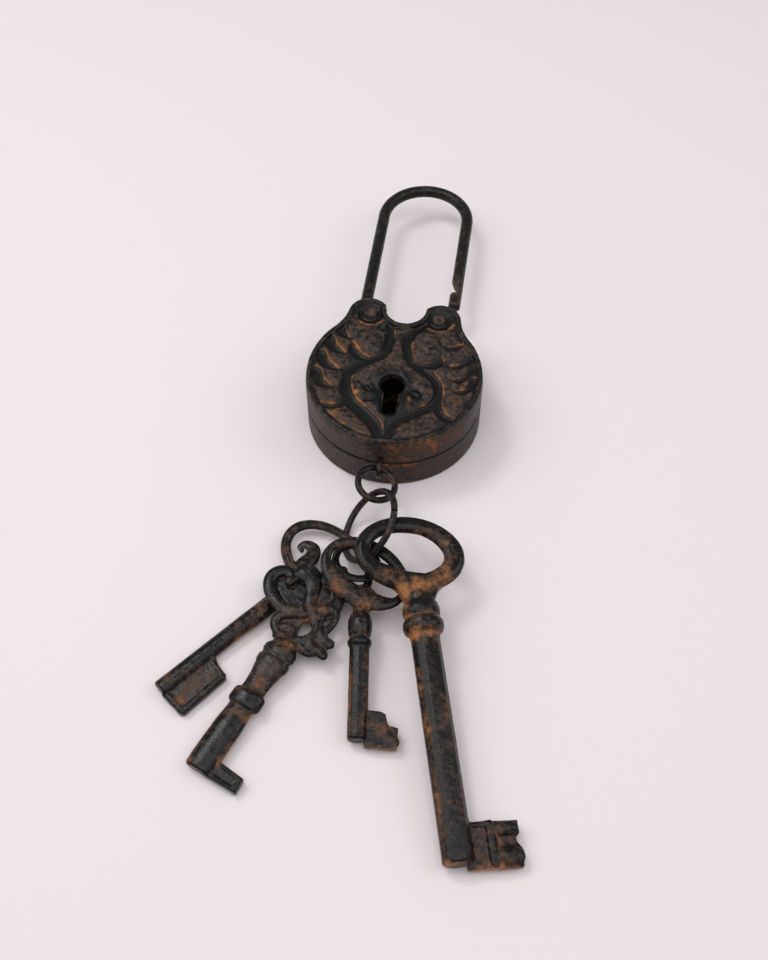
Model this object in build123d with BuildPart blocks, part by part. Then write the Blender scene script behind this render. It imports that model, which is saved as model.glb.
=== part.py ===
"""Round cast-iron padlock with a lifted shackle, its link ring, key ring and four keys.

The lock lies on its back. The origin is the centre of the rear face, +X points to the
shackle's free leg, +Y towards the shackle's bend and +Z out of the decorated front.
All lengths are millimetres and all angles degrees.
"""
import os
from math import asin, cos, degrees, radians, sin, sqrt

from build123d import *

os.makedirs("parts", exist_ok=True)

# Clearances
slide_clearance = 0.15
fit_clearance = 0.03
swivel_clearance = 0.06
rod_clearance = 0.3
ring_play = 0.35

# Case halves
body_radius = 32.5
body_thickness = 25.4
wall = 3.0
ground_depth = 1.0
edge_round = 0.7
lug_x = 0.42 * body_radius
lug_y = 0.87 * body_radius
lug_radius = 0.245 * body_radius
notch_radius = 0.228 * body_radius
notch_floor_y = 0.775 * body_radius
notch_wall = 4.14
corner_round = 0.046 * body_radius
lug_flare_round = 0.6 * body_radius
parting_z = body_thickness / 2
ground_z = body_thickness - ground_depth
front_cavity_z = ground_z - wall
cavity_radius = body_radius - wall
cavity_top_y = notch_floor_y - notch_wall

# Keyhole and front ornament
key_y = -4.6
keyhole_radius = 4.2
keyhole_slot_width = 5.2
keyhole_bottom_y = -19.0
keyhole_rim = 1.8
channel_width = 2.2
border_width = 1.6
border_inset = 1.2
boss_radius = 0.46 * lug_radius
eye_radius = 1.5
eye_x, eye_y = 0.27 * body_radius, -0.25 * body_radius
slit_length = 6.6
slit_width = 1.8
slit_slope = 35.0
slit_shares = [(0.66, 0.5), (0.71, 0.27), (0.76, 0.05), (0.75, -0.16)]
slit_places = [(x * body_radius, y * body_radius) for x, y in slit_shares]
stem_course = [
    (-0.13, 0.70), (-0.10, 0.46), (-0.25, 0.18), (-0.46, -0.05),
    (-0.49, -0.28), (-0.38, -0.52), (-0.17, -0.68), (-0.03, -0.86),
]
bud_course = [(-0.62, 0.64), (-0.54, 0.42), (-0.40, 0.22), (-0.24, 0.19)]
panel_course = [(-0.49, -0.36), (-0.55, -0.49), (-0.74, -0.56)]
channel_shares = (stem_course, bud_course, panel_course)
courses = [[(x * body_radius, y * body_radius) for x, y in shares] for shares in channel_shares]

# Shackle
rod_diameter = 4.76
leg_x = lug_x + 3.55
shackle_lift = 36.0
shackle_height = 65.4
closed_end_depth = 11.05
spigot_radius = 1.6
catch_height = 7.0
catch_depth = 3.0
catch_flat = 2.2
catch_slope = 5.0
leg_end_round = 0.8
rod_radius = rod_diameter / 2
closed_end_y = cavity_top_y - closed_end_depth
free_end_y = closed_end_y + shackle_lift
bend_top_y = free_end_y + shackle_height
bend_y = bend_top_y - leg_x
hole_radius = rod_radius + rod_clearance

# Heel block that carries the shackle in its guideway
heel_width = 7.0
heel_height = 4.0
heel_depth = 8.0
heel_washer_radius = 2.4
heel_washer_thickness = 1.2
rail_thickness = 1.6
heel_top_y = cavity_top_y - 2 * slide_clearance
heel_bottom_y = heel_top_y - heel_height
washer_bottom_y = heel_bottom_y - slide_clearance - heel_washer_thickness

# Locking bolt
bolt_throw = 3.2
bolt_thickness = 4.0
bolt_gap = 0.8
catch_clearance = 0.7
spring_room = 2.1
bolt_height = 6.5
arm_height = 5.2
horn_reach = 10.5
horn_width = 2.6
talon_half_width = 2.9
talon_depth = 3.1
nose_width = 3.2
nose_height = 1.7
nose_rise = 1.1
nose_length = 2.3
bolt_z = parting_z - bolt_thickness / 2
nose_tip_x = leg_x - rod_radius - bolt_gap
nose_bottom_y = closed_end_y + catch_height + catch_clearance
nose_root_x = nose_tip_x - nose_width
bolt_top_y = cavity_top_y - spring_room
bolt_bottom_y = bolt_top_y - bolt_height
arm_bottom_y = bolt_top_y - arm_height
horn_bottom_y = key_y + horn_reach
horn_x = talon_half_width + horn_width

# Bolt guide pins, cap plate and its screws
pin_radius = 1.2
pin_places = [(-3.6, bolt_top_y - 3.2), (4.6, bolt_top_y - 2.8)]
pin_seat_z = 6.0
boss_radius_inside = 2.6
cap_thickness = 1.5
cap_gap = 0.6
cap_height = 9.8
cap_corner = 1.5
cap_left_x = -leg_x + heel_width / 2 + slide_clearance + rail_thickness + cap_gap
cap_right_x = nose_tip_x - cap_gap
cap_top_y = bolt_top_y - 0.2
cap_bottom_y = cap_top_y - cap_height
cap_z = bolt_z + bolt_thickness + slide_clearance
screw_radius = 1.1
screw_head_radius = 2.0
screw_head_height = 1.3
screw_depth = 7.0
screw_slot_width = 0.7
screw_slot_depth = 0.7
post_radius = 1.95
screw_places = [
    (cap_left_x + screw_head_radius + 0.1, bolt_top_y - 2.6),
    (cap_right_x - screw_head_radius - 0.1, bolt_top_y - 7.6),
]
bolt_tail_x = screw_places[0][0] + post_radius + cap_gap

# Bolt spring, a thin strip that bears on the bolt's upper edge
spring_thickness = 0.5
spring_width = 3.4
spring_left_x, spring_right_x = cap_left_x + 2.6, 6.4
spring_rise = 0.8
spring_post_width = 2.4

# Wards and key guide
bush_outer_radius = 5.4
bush_bore_radius = 3.7
bush_height = 6.5
rear_ward_radius = 7.0
rear_ward_height = 2.5
ward_gap = 0.7
front_ward_height = 5.4
ward_thickness = 1.4
ward_opening = 60.0
front_ward_radius = -cap_left_x + cap_gap - ward_thickness - ward_gap

# Rivets and base screw
rivet_x = lug_x - 0.6
rivet_y = lug_y
rivet_radius = 1.1
rivet_head_radius = 1.9
rivet_head_height = 1.4
base_screw_x = 9.0
base_screw_radius = 1.5
base_screw_head_radius = 3.0
base_screw_head_height = 1.6
base_screw_length = 20.0
base_post_radius = 3.5
base_screw_y = -sqrt((cavity_radius - base_post_radius - 0.4) ** 2 - base_screw_x**2)

# Staple and rings
staple_wire = 2.0
staple_x = -0.5
staple_half_gap = 2.6
staple_root = 4.2
ring_wire = 2.45
link_ring_radius = 6.7
link_gap = 1.4
link_low_z = 12.5
link_roll = 14.0
key_ring_radius = 13.1
key_ring_z = 11.3
key_ring_normal = Vector(-0.75, -0.06, 0.66).normalized()
ring_split = 2.5
wire_radius = ring_wire / 2
link_y = -body_radius - link_gap - wire_radius
link_pitch = degrees(asin((parting_z - link_low_z) / (2 * link_ring_radius)))
link_low_y = link_y - 2 * link_ring_radius * cos(radians(link_pitch))
staple_end_y = link_y - wire_radius - ring_play - staple_wire / 2
key_ring_centre = Vector(staple_x, link_low_y + ring_wire + ring_play - key_ring_radius, key_ring_z)

# Keys: tip from the key ring's centre, heading, pitch and roll
big_tip, big_heading, big_pitch, big_roll = Vector(43.9, -112.2, -7.1), 105.2, 6.1, -2.0
small_tip, small_heading, small_pitch, small_roll = Vector(7.5, -76.4, -7.9), 97.3, 7.3, 0.0
ornate_tip, ornate_heading, ornate_pitch, ornate_roll = Vector(-39.0, -90.7, -8.7), 66.7, 3.7, 0.0
plain_tip, plain_heading, plain_pitch, plain_roll = Vector(-58.5, -67.8, -9.0), 50.9, 1.4, 0.0

# Big key
big_bow_thickness = 4.6
big_bit_thickness = 5.0
big_bow_round = 1.6
big_bow_turn = -16.0

# Small key
small_shaft_radius = 3.4
small_bow_thickness = 3.0
small_bit_thickness = 4.0
small_bow_round = 1.0
small_bow_turn = -36.0

# Ornate key
ornate_shaft_thickness = 5.2
ornate_bow_thickness = 2.6
ornate_loop_thickness = 1.5
ornate_bit_thickness = 4.0
ornate_shaft_x = -0.6
ornate_half_profile = [
    (5.0, 0), (4.8, 17.0), (4.5, 20.5), (5.9, 23.4), (5.9, 27.0), (4.5, 30.0), (4.6, 34.5), (5.5, 39.2),
    (5.9, 41.4), (5.9, 44.4), (5.2, 47.0), (3.4, 50.0),
]
ornate_profile = ornate_half_profile + [(-x, y) for x, y in reversed(ornate_half_profile)]
ornate_left_volute = [
    (-1.5, 60.4), (-7.9, 58.4), (-12.8, 59.3), (-16.6, 61.8), (-18.4, 65.4), (-17.6, 68.6), (-14.6, 69.8),
]
ornate_left_knob = [(-14.0, 70.0), (-10.4, 73.0), (-6.4, 73.0), (-4.0, 70.0), (-1.6, 64.0)]
ornate_left_curl = [(-2.0, 60.0), (-7.0, 56.6), (-8.2, 52.6), (-5.0, 48.6), (-1.0, 46.0)]
ornate_right_volute = [
    (1.0, 61.0), (4.0, 58.4), (7.0, 57.6), (8.8, 59.4), (8.8, 62.2), (7.0, 64.4), (4.6, 65.0),
]
ornate_leaf = [(0.0, 54.0), (5.0, 52.0), (9.6, 50.6), (12.6, 50.0)]
ornate_stem = [(-0.6, 48.0), (-0.8, 57.0), (-1.2, 64.0), (-1.4, 69.0)]
ornate_scrolls = [
    (ornate_left_volute, 4.0), (ornate_left_knob, 4.4), (ornate_left_curl, 3.2),
    (ornate_right_volute, 3.0), (ornate_leaf, 3.4), (ornate_stem, 5.0),
]

# Plain key
plain_shaft_left, plain_shaft_width = -4.1, 7.2
plain_shaft_thickness = 4.6
plain_neck_thickness = 2.2
plain_bow_thickness = 2.5
plain_bit_thickness = 3.6
plain_bow_round = 0.8


def case_outline(inset=0.0):
    """Face of the body: a disc with two lugs and a round notch between them."""
    with BuildSketch(mode=Mode.PRIVATE) as outline:
        Circle(body_radius - inset)
        with Locations((-lug_x, lug_y), (lug_x, lug_y)):
            Circle(lug_radius - inset)
        with Locations((0, notch_floor_y + notch_radius)):
            Circle(notch_radius + inset, mode=Mode.SUBTRACT)
        corners = outline.vertices().filter_by(lambda v: v.Y > lug_y / 2)
        fillet(corners.filter_by(lambda v: abs(v.X) > lug_x), lug_flare_round + inset)
        fillet(corners.filter_by(lambda v: abs(v.X) < lug_x), corner_round)
    return outline.sketch


def cavity_outline():
    """Hollow of the body, which stops short of the solid lugs."""
    with BuildSketch(mode=Mode.PRIVATE) as hollow:
        Circle(cavity_radius)
        with Locations((0, cavity_top_y)):
            Rectangle(2 * body_radius, body_radius, align=(Align.CENTER, Align.MIN), mode=Mode.SUBTRACT)
    return hollow.sketch


def guide_outline():
    """Two rails of the heel block's guideway, run out to the case wall."""
    rail_x = heel_width / 2 + slide_clearance + rail_thickness / 2
    with BuildSketch(mode=Mode.PRIVATE) as rails:
        with Locations((-leg_x - rail_x, 0), (-leg_x + rail_x, 0)):
            Rectangle(rail_thickness, 2 * cavity_radius)
        add(cavity_outline(), mode=Mode.INTERSECT)
    return rails.sketch


def guide_floor_outline():
    """Strip between the rails that the heel block slides along."""
    with BuildSketch(mode=Mode.PRIVATE) as strip:
        with Locations((-leg_x, 0)):
            Rectangle(heel_width + 2 * slide_clearance, 2 * cavity_radius)
        add(cavity_outline(), mode=Mode.INTERSECT)
    return strip.sketch


def keyhole_outline(grow=0.0):
    """Round keyhole with a straight slot for the bit."""
    slot_length = key_y - keyhole_bottom_y
    with BuildSketch(mode=Mode.PRIVATE) as hole:
        with Locations((0, key_y)):
            Circle(keyhole_radius + grow)
        with Locations((0, key_y + grow)):
            Rectangle(
                keyhole_slot_width + 2 * grow, slot_length + 2 * grow, align=(Align.CENTER, Align.MAX)
            )
    return hole.sketch


def spring_outline(thickness):
    """Bowed strip whose middle bears on the bolt's upper edge."""
    spring_y = bolt_top_y + slide_clearance + spring_thickness / 2
    with BuildSketch(mode=Mode.PRIVATE) as strip:
        with BuildLine() as bow:
            ThreePointArc(
                (spring_left_x, spring_y + spring_rise),
                ((spring_left_x + spring_right_x) / 2, spring_y),
                (spring_right_x, spring_y + spring_rise),
            )
        trace(bow.line, line_width=thickness)
    return strip.sketch


def leg_hole_plane(x):
    """Plane square to a shackle leg, inside the cavity."""
    return Plane(origin=(x, cavity_top_y - wall, parting_z), x_dir=(1, 0, 0), z_dir=(0, 1, 0))


def key_plane(tip, heading, pitch, roll):
    """Plane of a lying key: origin at its tip, y towards its bow, z up out of its face."""
    turn, rise, lean = radians(heading), radians(pitch), radians(roll)
    along = Vector(cos(turn) * cos(rise), sin(turn) * cos(rise), sin(rise))
    level = along.cross(Vector(0, 0, 1)).normalized()
    across = level * cos(lean) + level.cross(along) * sin(lean)
    return Plane(origin=key_ring_centre + tip, x_dir=across, z_dir=across.cross(along))


# Rear half of the case: cup with guide rails, bosses, posts and half of each shackle hole
with BuildPart() as rear_case:
    with BuildSketch():
        add(case_outline())
    extrude(amount=parting_z)
    fillet(rear_case.faces().sort_by(Axis.Z)[0].edges(), edge_round)
    with BuildSketch(Plane.XY.offset(wall)):
        add(cavity_outline())
    extrude(amount=parting_z - wall, mode=Mode.SUBTRACT)
    with BuildSketch(Plane.XY.offset(wall)):
        add(guide_outline())
    extrude(amount=parting_z - wall)
    with BuildSketch(Plane.XY.offset(wall)):
        add(guide_floor_outline())
    extrude(amount=parting_z - heel_depth / 2 - slide_clearance - wall)
    with BuildSketch(Plane.XY.offset(wall)):
        with Locations(*pin_places):
            Circle(boss_radius_inside)
    extrude(amount=bolt_z - slide_clearance - wall)
    with BuildSketch(Plane.XY.offset(wall)):
        with Locations(*screw_places):
            Circle(post_radius)
    extrude(amount=cap_z - wall)
    with BuildSketch(Plane.XY.offset(wall)):
        with Locations((base_screw_x, base_screw_y)):
            Circle(base_post_radius)
    extrude(amount=parting_z - wall)
    with BuildSketch(Plane.XY.offset(wall)):
        with Locations((spring_left_x, cavity_top_y)):
            Rectangle(spring_post_width, spring_room - slide_clearance, align=(Align.CENTER, Align.MAX))
    extrude(amount=parting_z + spring_width / 2 - wall)
    with BuildSketch(Plane.XY.offset(parting_z - spring_width / 2)):
        add(spring_outline(spring_thickness + 2 * fit_clearance))
    extrude(amount=spring_width, mode=Mode.SUBTRACT)
    with BuildSketch(Plane.XY.offset(pin_seat_z)):
        with Locations(*pin_places):
            Circle(pin_radius + fit_clearance)
    extrude(amount=body_thickness, mode=Mode.SUBTRACT)
    with BuildSketch(Plane.XY.offset(cap_z + cap_thickness - screw_depth)):
        with Locations(*screw_places):
            Circle(screw_radius + fit_clearance)
    extrude(amount=body_thickness, mode=Mode.SUBTRACT)
    for x in (-leg_x, leg_x):
        with BuildSketch(leg_hole_plane(x)):
            Circle(hole_radius)
        extrude(amount=body_radius, mode=Mode.SUBTRACT)
    with BuildSketch():
        with Locations((-rivet_x, rivet_y), (rivet_x, rivet_y), (base_screw_x, base_screw_y)):
            Circle(rivet_radius + fit_clearance)
    extrude(amount=parting_z, mode=Mode.SUBTRACT)
    with BuildSketch():
        with Locations((base_screw_x, base_screw_y)):
            Circle(base_screw_radius + fit_clearance)
    extrude(amount=parting_z, mode=Mode.SUBTRACT)
    with BuildSketch():
        with Locations((-rivet_x, rivet_y), (rivet_x, rivet_y)):
            Circle(rivet_head_radius + fit_clearance)
    extrude(amount=rivet_head_height, mode=Mode.SUBTRACT)
    with BuildSketch():
        with Locations((base_screw_x, base_screw_y)):
            Circle(base_screw_head_radius + fit_clearance)
    extrude(amount=base_screw_head_height, mode=Mode.SUBTRACT)
    with BuildSketch(Plane.XZ):
        with Locations((staple_x, parting_z - staple_half_gap)):
            Circle(staple_wire / 2 + fit_clearance)
    extrude(amount=body_radius + wall, mode=Mode.SUBTRACT)
rear_case.part.label = "rear_case"
export_step(rear_case.part, "parts/rear_case.step")

# Front half of the case: cup with the keyhole and the raised ornament
with BuildPart() as front_case:
    with BuildSketch(Plane.XY.offset(parting_z)):
        add(case_outline())
    extrude(amount=body_thickness - parting_z)
    fillet(front_case.faces().sort_by(Axis.Z)[-1].edges(), edge_round)
    with BuildSketch(Plane.XY.offset(ground_z)):
        add(case_outline(border_inset))
        add(case_outline(border_inset + border_width), mode=Mode.SUBTRACT)
        for side in (1, -1):
            for course in courses:
                with BuildLine() as channel:
                    Spline(*[(side * x, y) for x, y in course])
                trace(channel.line, line_width=channel_width)
            with Locations((side * eye_x, eye_y)):
                Circle(eye_radius)
            for x, y in slit_places:
                with Locations(Location((side * x, y, 0), side * slit_slope)):
                    SlotOverall(slit_length, slit_width)
            with Locations((side * rivet_x, rivet_y)):
                Circle(boss_radius)
        add(case_outline(border_inset), mode=Mode.INTERSECT)
        add(keyhole_outline(keyhole_rim), mode=Mode.SUBTRACT)
    extrude(amount=ground_depth, mode=Mode.SUBTRACT)
    with BuildSketch(Plane.XY.offset(parting_z)):
        add(cavity_outline())
    extrude(amount=front_cavity_z - parting_z, mode=Mode.SUBTRACT)
    with BuildSketch(Plane.XY.offset(parting_z)):
        add(guide_outline())
    extrude(amount=front_cavity_z - parting_z)
    with BuildSketch(Plane.XY.offset(parting_z + heel_depth / 2 + slide_clearance)):
        add(guide_floor_outline())
    extrude(amount=front_cavity_z - parting_z - heel_depth / 2 - slide_clearance)
    with BuildSketch(Plane.XY.offset(parting_z)):
        with Locations((base_screw_x, base_screw_y)):
            Circle(base_post_radius)
    extrude(amount=front_cavity_z - parting_z)
    with BuildSketch(Plane.XY.offset(parting_z)):
        with Locations((base_screw_x, base_screw_y)):
            Circle(base_screw_radius + fit_clearance)
    extrude(amount=base_screw_length + fit_clearance - parting_z, mode=Mode.SUBTRACT)
    for x in (-leg_x, leg_x):
        with BuildSketch(leg_hole_plane(x)):
            Circle(hole_radius)
        extrude(amount=body_radius, mode=Mode.SUBTRACT)
    with BuildSketch(Plane.XY.offset(front_cavity_z)):
        add(keyhole_outline())
    extrude(amount=body_thickness, mode=Mode.SUBTRACT)
    with BuildSketch(Plane.XY.offset(parting_z)):
        with Locations((-rivet_x, rivet_y), (rivet_x, rivet_y)):
            Circle(rivet_radius + fit_clearance)
    extrude(amount=body_thickness, mode=Mode.SUBTRACT)
    with BuildSketch(Plane.XY.offset(body_thickness - rivet_head_height)):
        with Locations((-rivet_x, rivet_y), (rivet_x, rivet_y)):
            Circle(rivet_head_radius + fit_clearance)
    extrude(amount=rivet_head_height, mode=Mode.SUBTRACT)
    with BuildSketch(Plane.XZ):
        with Locations((staple_x, parting_z + staple_half_gap)):
            Circle(staple_wire / 2 + fit_clearance)
    extrude(amount=body_radius + wall, mode=Mode.SUBTRACT)
front_case.part.label = "front_case"
export_step(front_case.part, "parts/front_case.step")

# Shackle: bent rod with a riveted spigot on its heel and a catch notch in its free leg
with BuildPart() as shackle:
    with BuildLine() as rod_line:
        Line((-leg_x, heel_top_y, parting_z), (-leg_x, bend_y, parting_z))
        ThreePointArc((-leg_x, bend_y, parting_z), (0, bend_top_y, parting_z), (leg_x, bend_y, parting_z))
        Line((leg_x, bend_y, parting_z), (leg_x, free_end_y, parting_z))
    with BuildSketch(Plane(origin=(-leg_x, heel_top_y, parting_z), z_dir=(0, 1, 0))):
        Circle(rod_radius)
    sweep(path=rod_line.line)
    fillet(shackle.faces().filter_by(Plane.XZ).sort_by(Axis.X)[-1].edges(), leg_end_round)
    with BuildSketch(Plane(origin=(-leg_x, washer_bottom_y, parting_z), z_dir=(0, 1, 0))):
        Circle(spigot_radius)
    extrude(amount=heel_top_y - washer_bottom_y)
    inner_x = leg_x - rod_radius
    with BuildSketch(Plane.XY.offset(parting_z - rod_radius)):
        with BuildLine():
            Polyline(
                (inner_x - rod_radius, free_end_y + catch_height),
                (inner_x + catch_depth, free_end_y + catch_height),
                (inner_x + catch_depth, free_end_y + catch_height + catch_flat),
                (inner_x, free_end_y + catch_height + catch_flat + catch_slope),
                (inner_x - rod_radius, free_end_y + catch_height + catch_flat + catch_slope),
                close=True,
            )
        make_face()
    extrude(amount=rod_diameter, mode=Mode.SUBTRACT)
shackle.part.label = "shackle"
export_step(shackle.part, "parts/shackle.step")

# Heel block: runs in the guideway and lets the shackle turn in its bore
with BuildPart() as heel_block:
    with BuildSketch(Plane(origin=(-leg_x, heel_bottom_y, parting_z), x_dir=(1, 0, 0), z_dir=(0, 1, 0))):
        Rectangle(heel_width, heel_depth)
        Circle(spigot_radius + swivel_clearance, mode=Mode.SUBTRACT)
    extrude(amount=heel_height - swivel_clearance)
heel_block.part.label = "heel_block"
export_step(heel_block.part, "parts/heel_block.step")

# Heel washer: the spigot is riveted over under it
with BuildPart() as heel_washer:
    with BuildSketch(Plane(origin=(-leg_x, washer_bottom_y, parting_z), z_dir=(0, 1, 0))):
        Circle(heel_washer_radius)
        Circle(spigot_radius + fit_clearance, mode=Mode.SUBTRACT)
    extrude(amount=heel_washer_thickness)
heel_washer.part.label = "heel_washer"
export_step(heel_washer.part, "parts/heel_washer.step")

# Lug rivets: one through each lug, closed flush at the back
for side, name in ((-1, "lug_rivet_left"), (1, "lug_rivet_right")):
    with BuildPart() as lug_rivet:
        with Locations((side * rivet_x, rivet_y, 0)):
            Cylinder(rivet_radius, body_thickness, align=(Align.CENTER, Align.CENTER, Align.MIN))
            Cylinder(rivet_head_radius, rivet_head_height, align=(Align.CENTER, Align.CENTER, Align.MIN))
        with Locations((side * rivet_x, rivet_y, body_thickness)):
            Cylinder(rivet_head_radius, rivet_head_height, align=(Align.CENTER, Align.CENTER, Align.MAX))
    lug_rivet.part.label = name
    export_step(lug_rivet.part, f"parts/{name}.step")

# Base screw: draws the two halves together from the back
with BuildPart() as base_screw:
    with Locations((base_screw_x, base_screw_y, 0)):
        Cylinder(base_screw_radius, base_screw_length, align=(Align.CENTER, Align.CENTER, Align.MIN))
        Cylinder(
            base_screw_head_radius, base_screw_head_height, align=(Align.CENTER, Align.CENTER, Align.MIN)
        )
        Box(
            2 * base_screw_head_radius, screw_slot_width, screw_slot_depth,
            align=(Align.CENTER, Align.CENTER, Align.MIN), mode=Mode.SUBTRACT,
        )
base_screw.part.label = "base_screw"
export_step(base_screw.part, "parts/base_screw.step")

# Locking bolt: sliding plate with a talon for the key, pin slots and a nose for the catch notch
with BuildPart() as locking_bolt:
    with BuildSketch(Plane.XY.offset(bolt_z)):
        with BuildLine():
            Polyline(
                (bolt_tail_x, bolt_bottom_y),
                (-horn_x, bolt_bottom_y),
                (-horn_x, horn_bottom_y),
                (-talon_half_width, horn_bottom_y),
                (-talon_half_width, horn_bottom_y + talon_depth),
                (talon_half_width, horn_bottom_y + talon_depth),
                (talon_half_width, horn_bottom_y),
                (horn_x, horn_bottom_y),
                (horn_x, arm_bottom_y),
                (nose_root_x, arm_bottom_y),
                (nose_root_x, nose_bottom_y),
                (nose_tip_x, nose_bottom_y),
                (nose_tip_x, nose_bottom_y + nose_height),
                (nose_tip_x - nose_length, nose_bottom_y + nose_height + nose_rise),
                (nose_root_x - nose_length, nose_bottom_y + nose_height + nose_rise),
                (nose_root_x - nose_length, bolt_top_y),
                (bolt_tail_x, bolt_top_y),
                close=True,
            )
        make_face()
        with Locations(*[(x - bolt_throw / 2, y) for x, y in pin_places]):
            SlotCenterToCenter(bolt_throw, 2 * (pin_radius + slide_clearance), mode=Mode.SUBTRACT)
    extrude(amount=bolt_thickness)
locking_bolt.part.label = "locking_bolt"
export_step(locking_bolt.part, "parts/locking_bolt.step")

# Bolt guide pins: stand in the rear bosses and pass through the bolt's slots
with BuildPart() as bolt_guide_pins:
    with Locations(*[(x, y, pin_seat_z) for x, y in pin_places]):
        Cylinder(
            pin_radius, cap_z + cap_thickness - pin_seat_z, align=(Align.CENTER, Align.CENTER, Align.MIN)
        )
bolt_guide_pins.part.label = "bolt_guide_pins"
export_step(bolt_guide_pins.part, "parts/bolt_guide_pins.step")

# Cap plate: keeps the bolt on its pins
with BuildPart() as cap_plate:
    with BuildSketch(Plane.XY.offset(cap_z)):
        with Locations(((cap_left_x + cap_right_x) / 2, (cap_bottom_y + cap_top_y) / 2)):
            RectangleRounded(cap_right_x - cap_left_x, cap_top_y - cap_bottom_y, cap_corner)
        with Locations(*pin_places):
            Circle(pin_radius + fit_clearance, mode=Mode.SUBTRACT)
        with Locations(*screw_places):
            Circle(screw_radius + fit_clearance, mode=Mode.SUBTRACT)
    extrude(amount=cap_thickness)
cap_plate.part.label = "cap_plate"
export_step(cap_plate.part, "parts/cap_plate.step")

# Cap plate screws
with BuildPart() as cap_plate_screws:
    with Locations(*[(x, y, cap_z + cap_thickness - screw_depth) for x, y in screw_places]):
        Cylinder(screw_radius, screw_depth, align=(Align.CENTER, Align.CENTER, Align.MIN))
    with Locations(*[(x, y, cap_z + cap_thickness + screw_head_height) for x, y in screw_places]):
        Cylinder(screw_head_radius, screw_head_height, align=(Align.CENTER, Align.CENTER, Align.MAX))
        Box(
            2 * screw_head_radius, screw_slot_width, screw_slot_depth,
            align=(Align.CENTER, Align.CENTER, Align.MAX), mode=Mode.SUBTRACT,
        )
cap_plate_screws.part.label = "cap_plate_screws"
export_step(cap_plate_screws.part, "parts/cap_plate_screws.step")

# Bolt spring: bowed strip above the bolt
with BuildPart() as bolt_spring:
    with BuildSketch(Plane.XY.offset(parting_z - spring_width / 2)):
        add(spring_outline(spring_thickness))
    extrude(amount=spring_width)
bolt_spring.part.label = "bolt_spring"
export_step(bolt_spring.part, "parts/bolt_spring.step")

# Key guide bush: the key's end turns in it
with BuildPart() as key_guide_bush:
    with BuildSketch(Plane.XY.offset(wall)):
        with Locations((0, key_y)):
            Circle(bush_outer_radius)
            Circle(bush_bore_radius, mode=Mode.SUBTRACT)
    extrude(amount=bush_height)
key_guide_bush.part.label = "key_guide_bush"
export_step(key_guide_bush.part, "parts/key_guide_bush.step")


def ward_outline(radius):
    """Open ring round the key, with its gap towards the bolt."""
    with BuildSketch(mode=Mode.PRIVATE) as ward:
        with Locations((0, key_y)):
            Circle(radius + ward_thickness)
            Circle(radius, mode=Mode.SUBTRACT)
        with Locations((0, key_y)):
            Rectangle(
                2 * radius * sin(radians(ward_opening / 2)), 2 * radius,
                align=(Align.CENTER, Align.MIN), mode=Mode.SUBTRACT,
            )
    return ward.sketch


# Rear ward
with BuildPart() as rear_ward:
    with BuildSketch(Plane.XY.offset(wall)):
        add(ward_outline(rear_ward_radius))
    extrude(amount=rear_ward_height)
rear_ward.part.label = "rear_ward"
export_step(rear_ward.part, "parts/rear_ward.step")

# Front ward
with BuildPart() as front_ward:
    with BuildSketch(Plane.XY.offset(front_cavity_z - front_ward_height)):
        add(ward_outline(front_ward_radius))
        with Locations((0, key_y)):
            Rectangle(
                keyhole_slot_width, 2 * body_radius, align=(Align.CENTER, Align.MAX), mode=Mode.SUBTRACT
            )
    extrude(amount=front_ward_height)
front_ward.part.label = "front_ward"
export_step(front_ward.part, "parts/front_ward.step")

# Key staple: wire loop clenched through the rim, one leg in each half of the case
with BuildPart() as key_staple:
    root_y = staple_root - body_radius
    turn_y = staple_end_y + staple_half_gap
    upper_leg_z, lower_leg_z = parting_z + staple_half_gap, parting_z - staple_half_gap
    with BuildLine() as loop_line:
        Line((staple_x, root_y, upper_leg_z), (staple_x, turn_y, upper_leg_z))
        ThreePointArc(
            (staple_x, turn_y, upper_leg_z),
            (staple_x, turn_y - staple_half_gap, parting_z),
            (staple_x, turn_y, lower_leg_z),
        )
        Line((staple_x, turn_y, lower_leg_z), (staple_x, root_y, lower_leg_z))
    with BuildSketch(Plane(origin=(staple_x, root_y, upper_leg_z), z_dir=(0, -1, 0))):
        Circle(staple_wire / 2)
    sweep(path=loop_line.line)
key_staple.part.label = "key_staple"
export_step(key_staple.part, "parts/key_staple.step")

# Link ring: hangs in the staple
roll, dip = radians(link_roll), radians(link_pitch)
link_normal = Vector(sin(roll), -sin(dip) * cos(roll), cos(dip) * cos(roll))
link_plane = Plane(
    origin=(staple_x, (link_y + link_low_y) / 2, (parting_z + link_low_z) / 2),
    x_dir=(cos(roll), sin(dip) * sin(roll), -cos(dip) * sin(roll)),
    z_dir=link_normal,
)
with BuildPart() as link_ring:
    with BuildSketch(Plane(link_plane.from_local_coords((0, link_ring_radius, 0)), z_dir=link_plane.x_dir)):
        Circle(wire_radius)
    revolve(axis=Axis(link_plane.origin, link_normal))
link_ring.part.label = "link_ring"
export_step(link_ring.part, "parts/link_ring.step")

# Key ring: bent from wire, with a butt joint at its highest point
ring_up = (Vector(0, 0, 1) - key_ring_normal * key_ring_normal.Z).normalized()
ring_plane = Plane(origin=key_ring_centre, x_dir=ring_up, z_dir=key_ring_normal)
with BuildPart() as key_ring:
    with BuildSketch(Plane(ring_plane.from_local_coords((key_ring_radius, 0, 0)), z_dir=ring_plane.y_dir)):
        Circle(wire_radius)
    revolve(axis=Axis(ring_plane.origin, ring_plane.z_dir), revolution_arc=360 - ring_split)
key_ring.part.label = "key_ring"
export_step(key_ring.part, "parts/key_ring.step")

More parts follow.
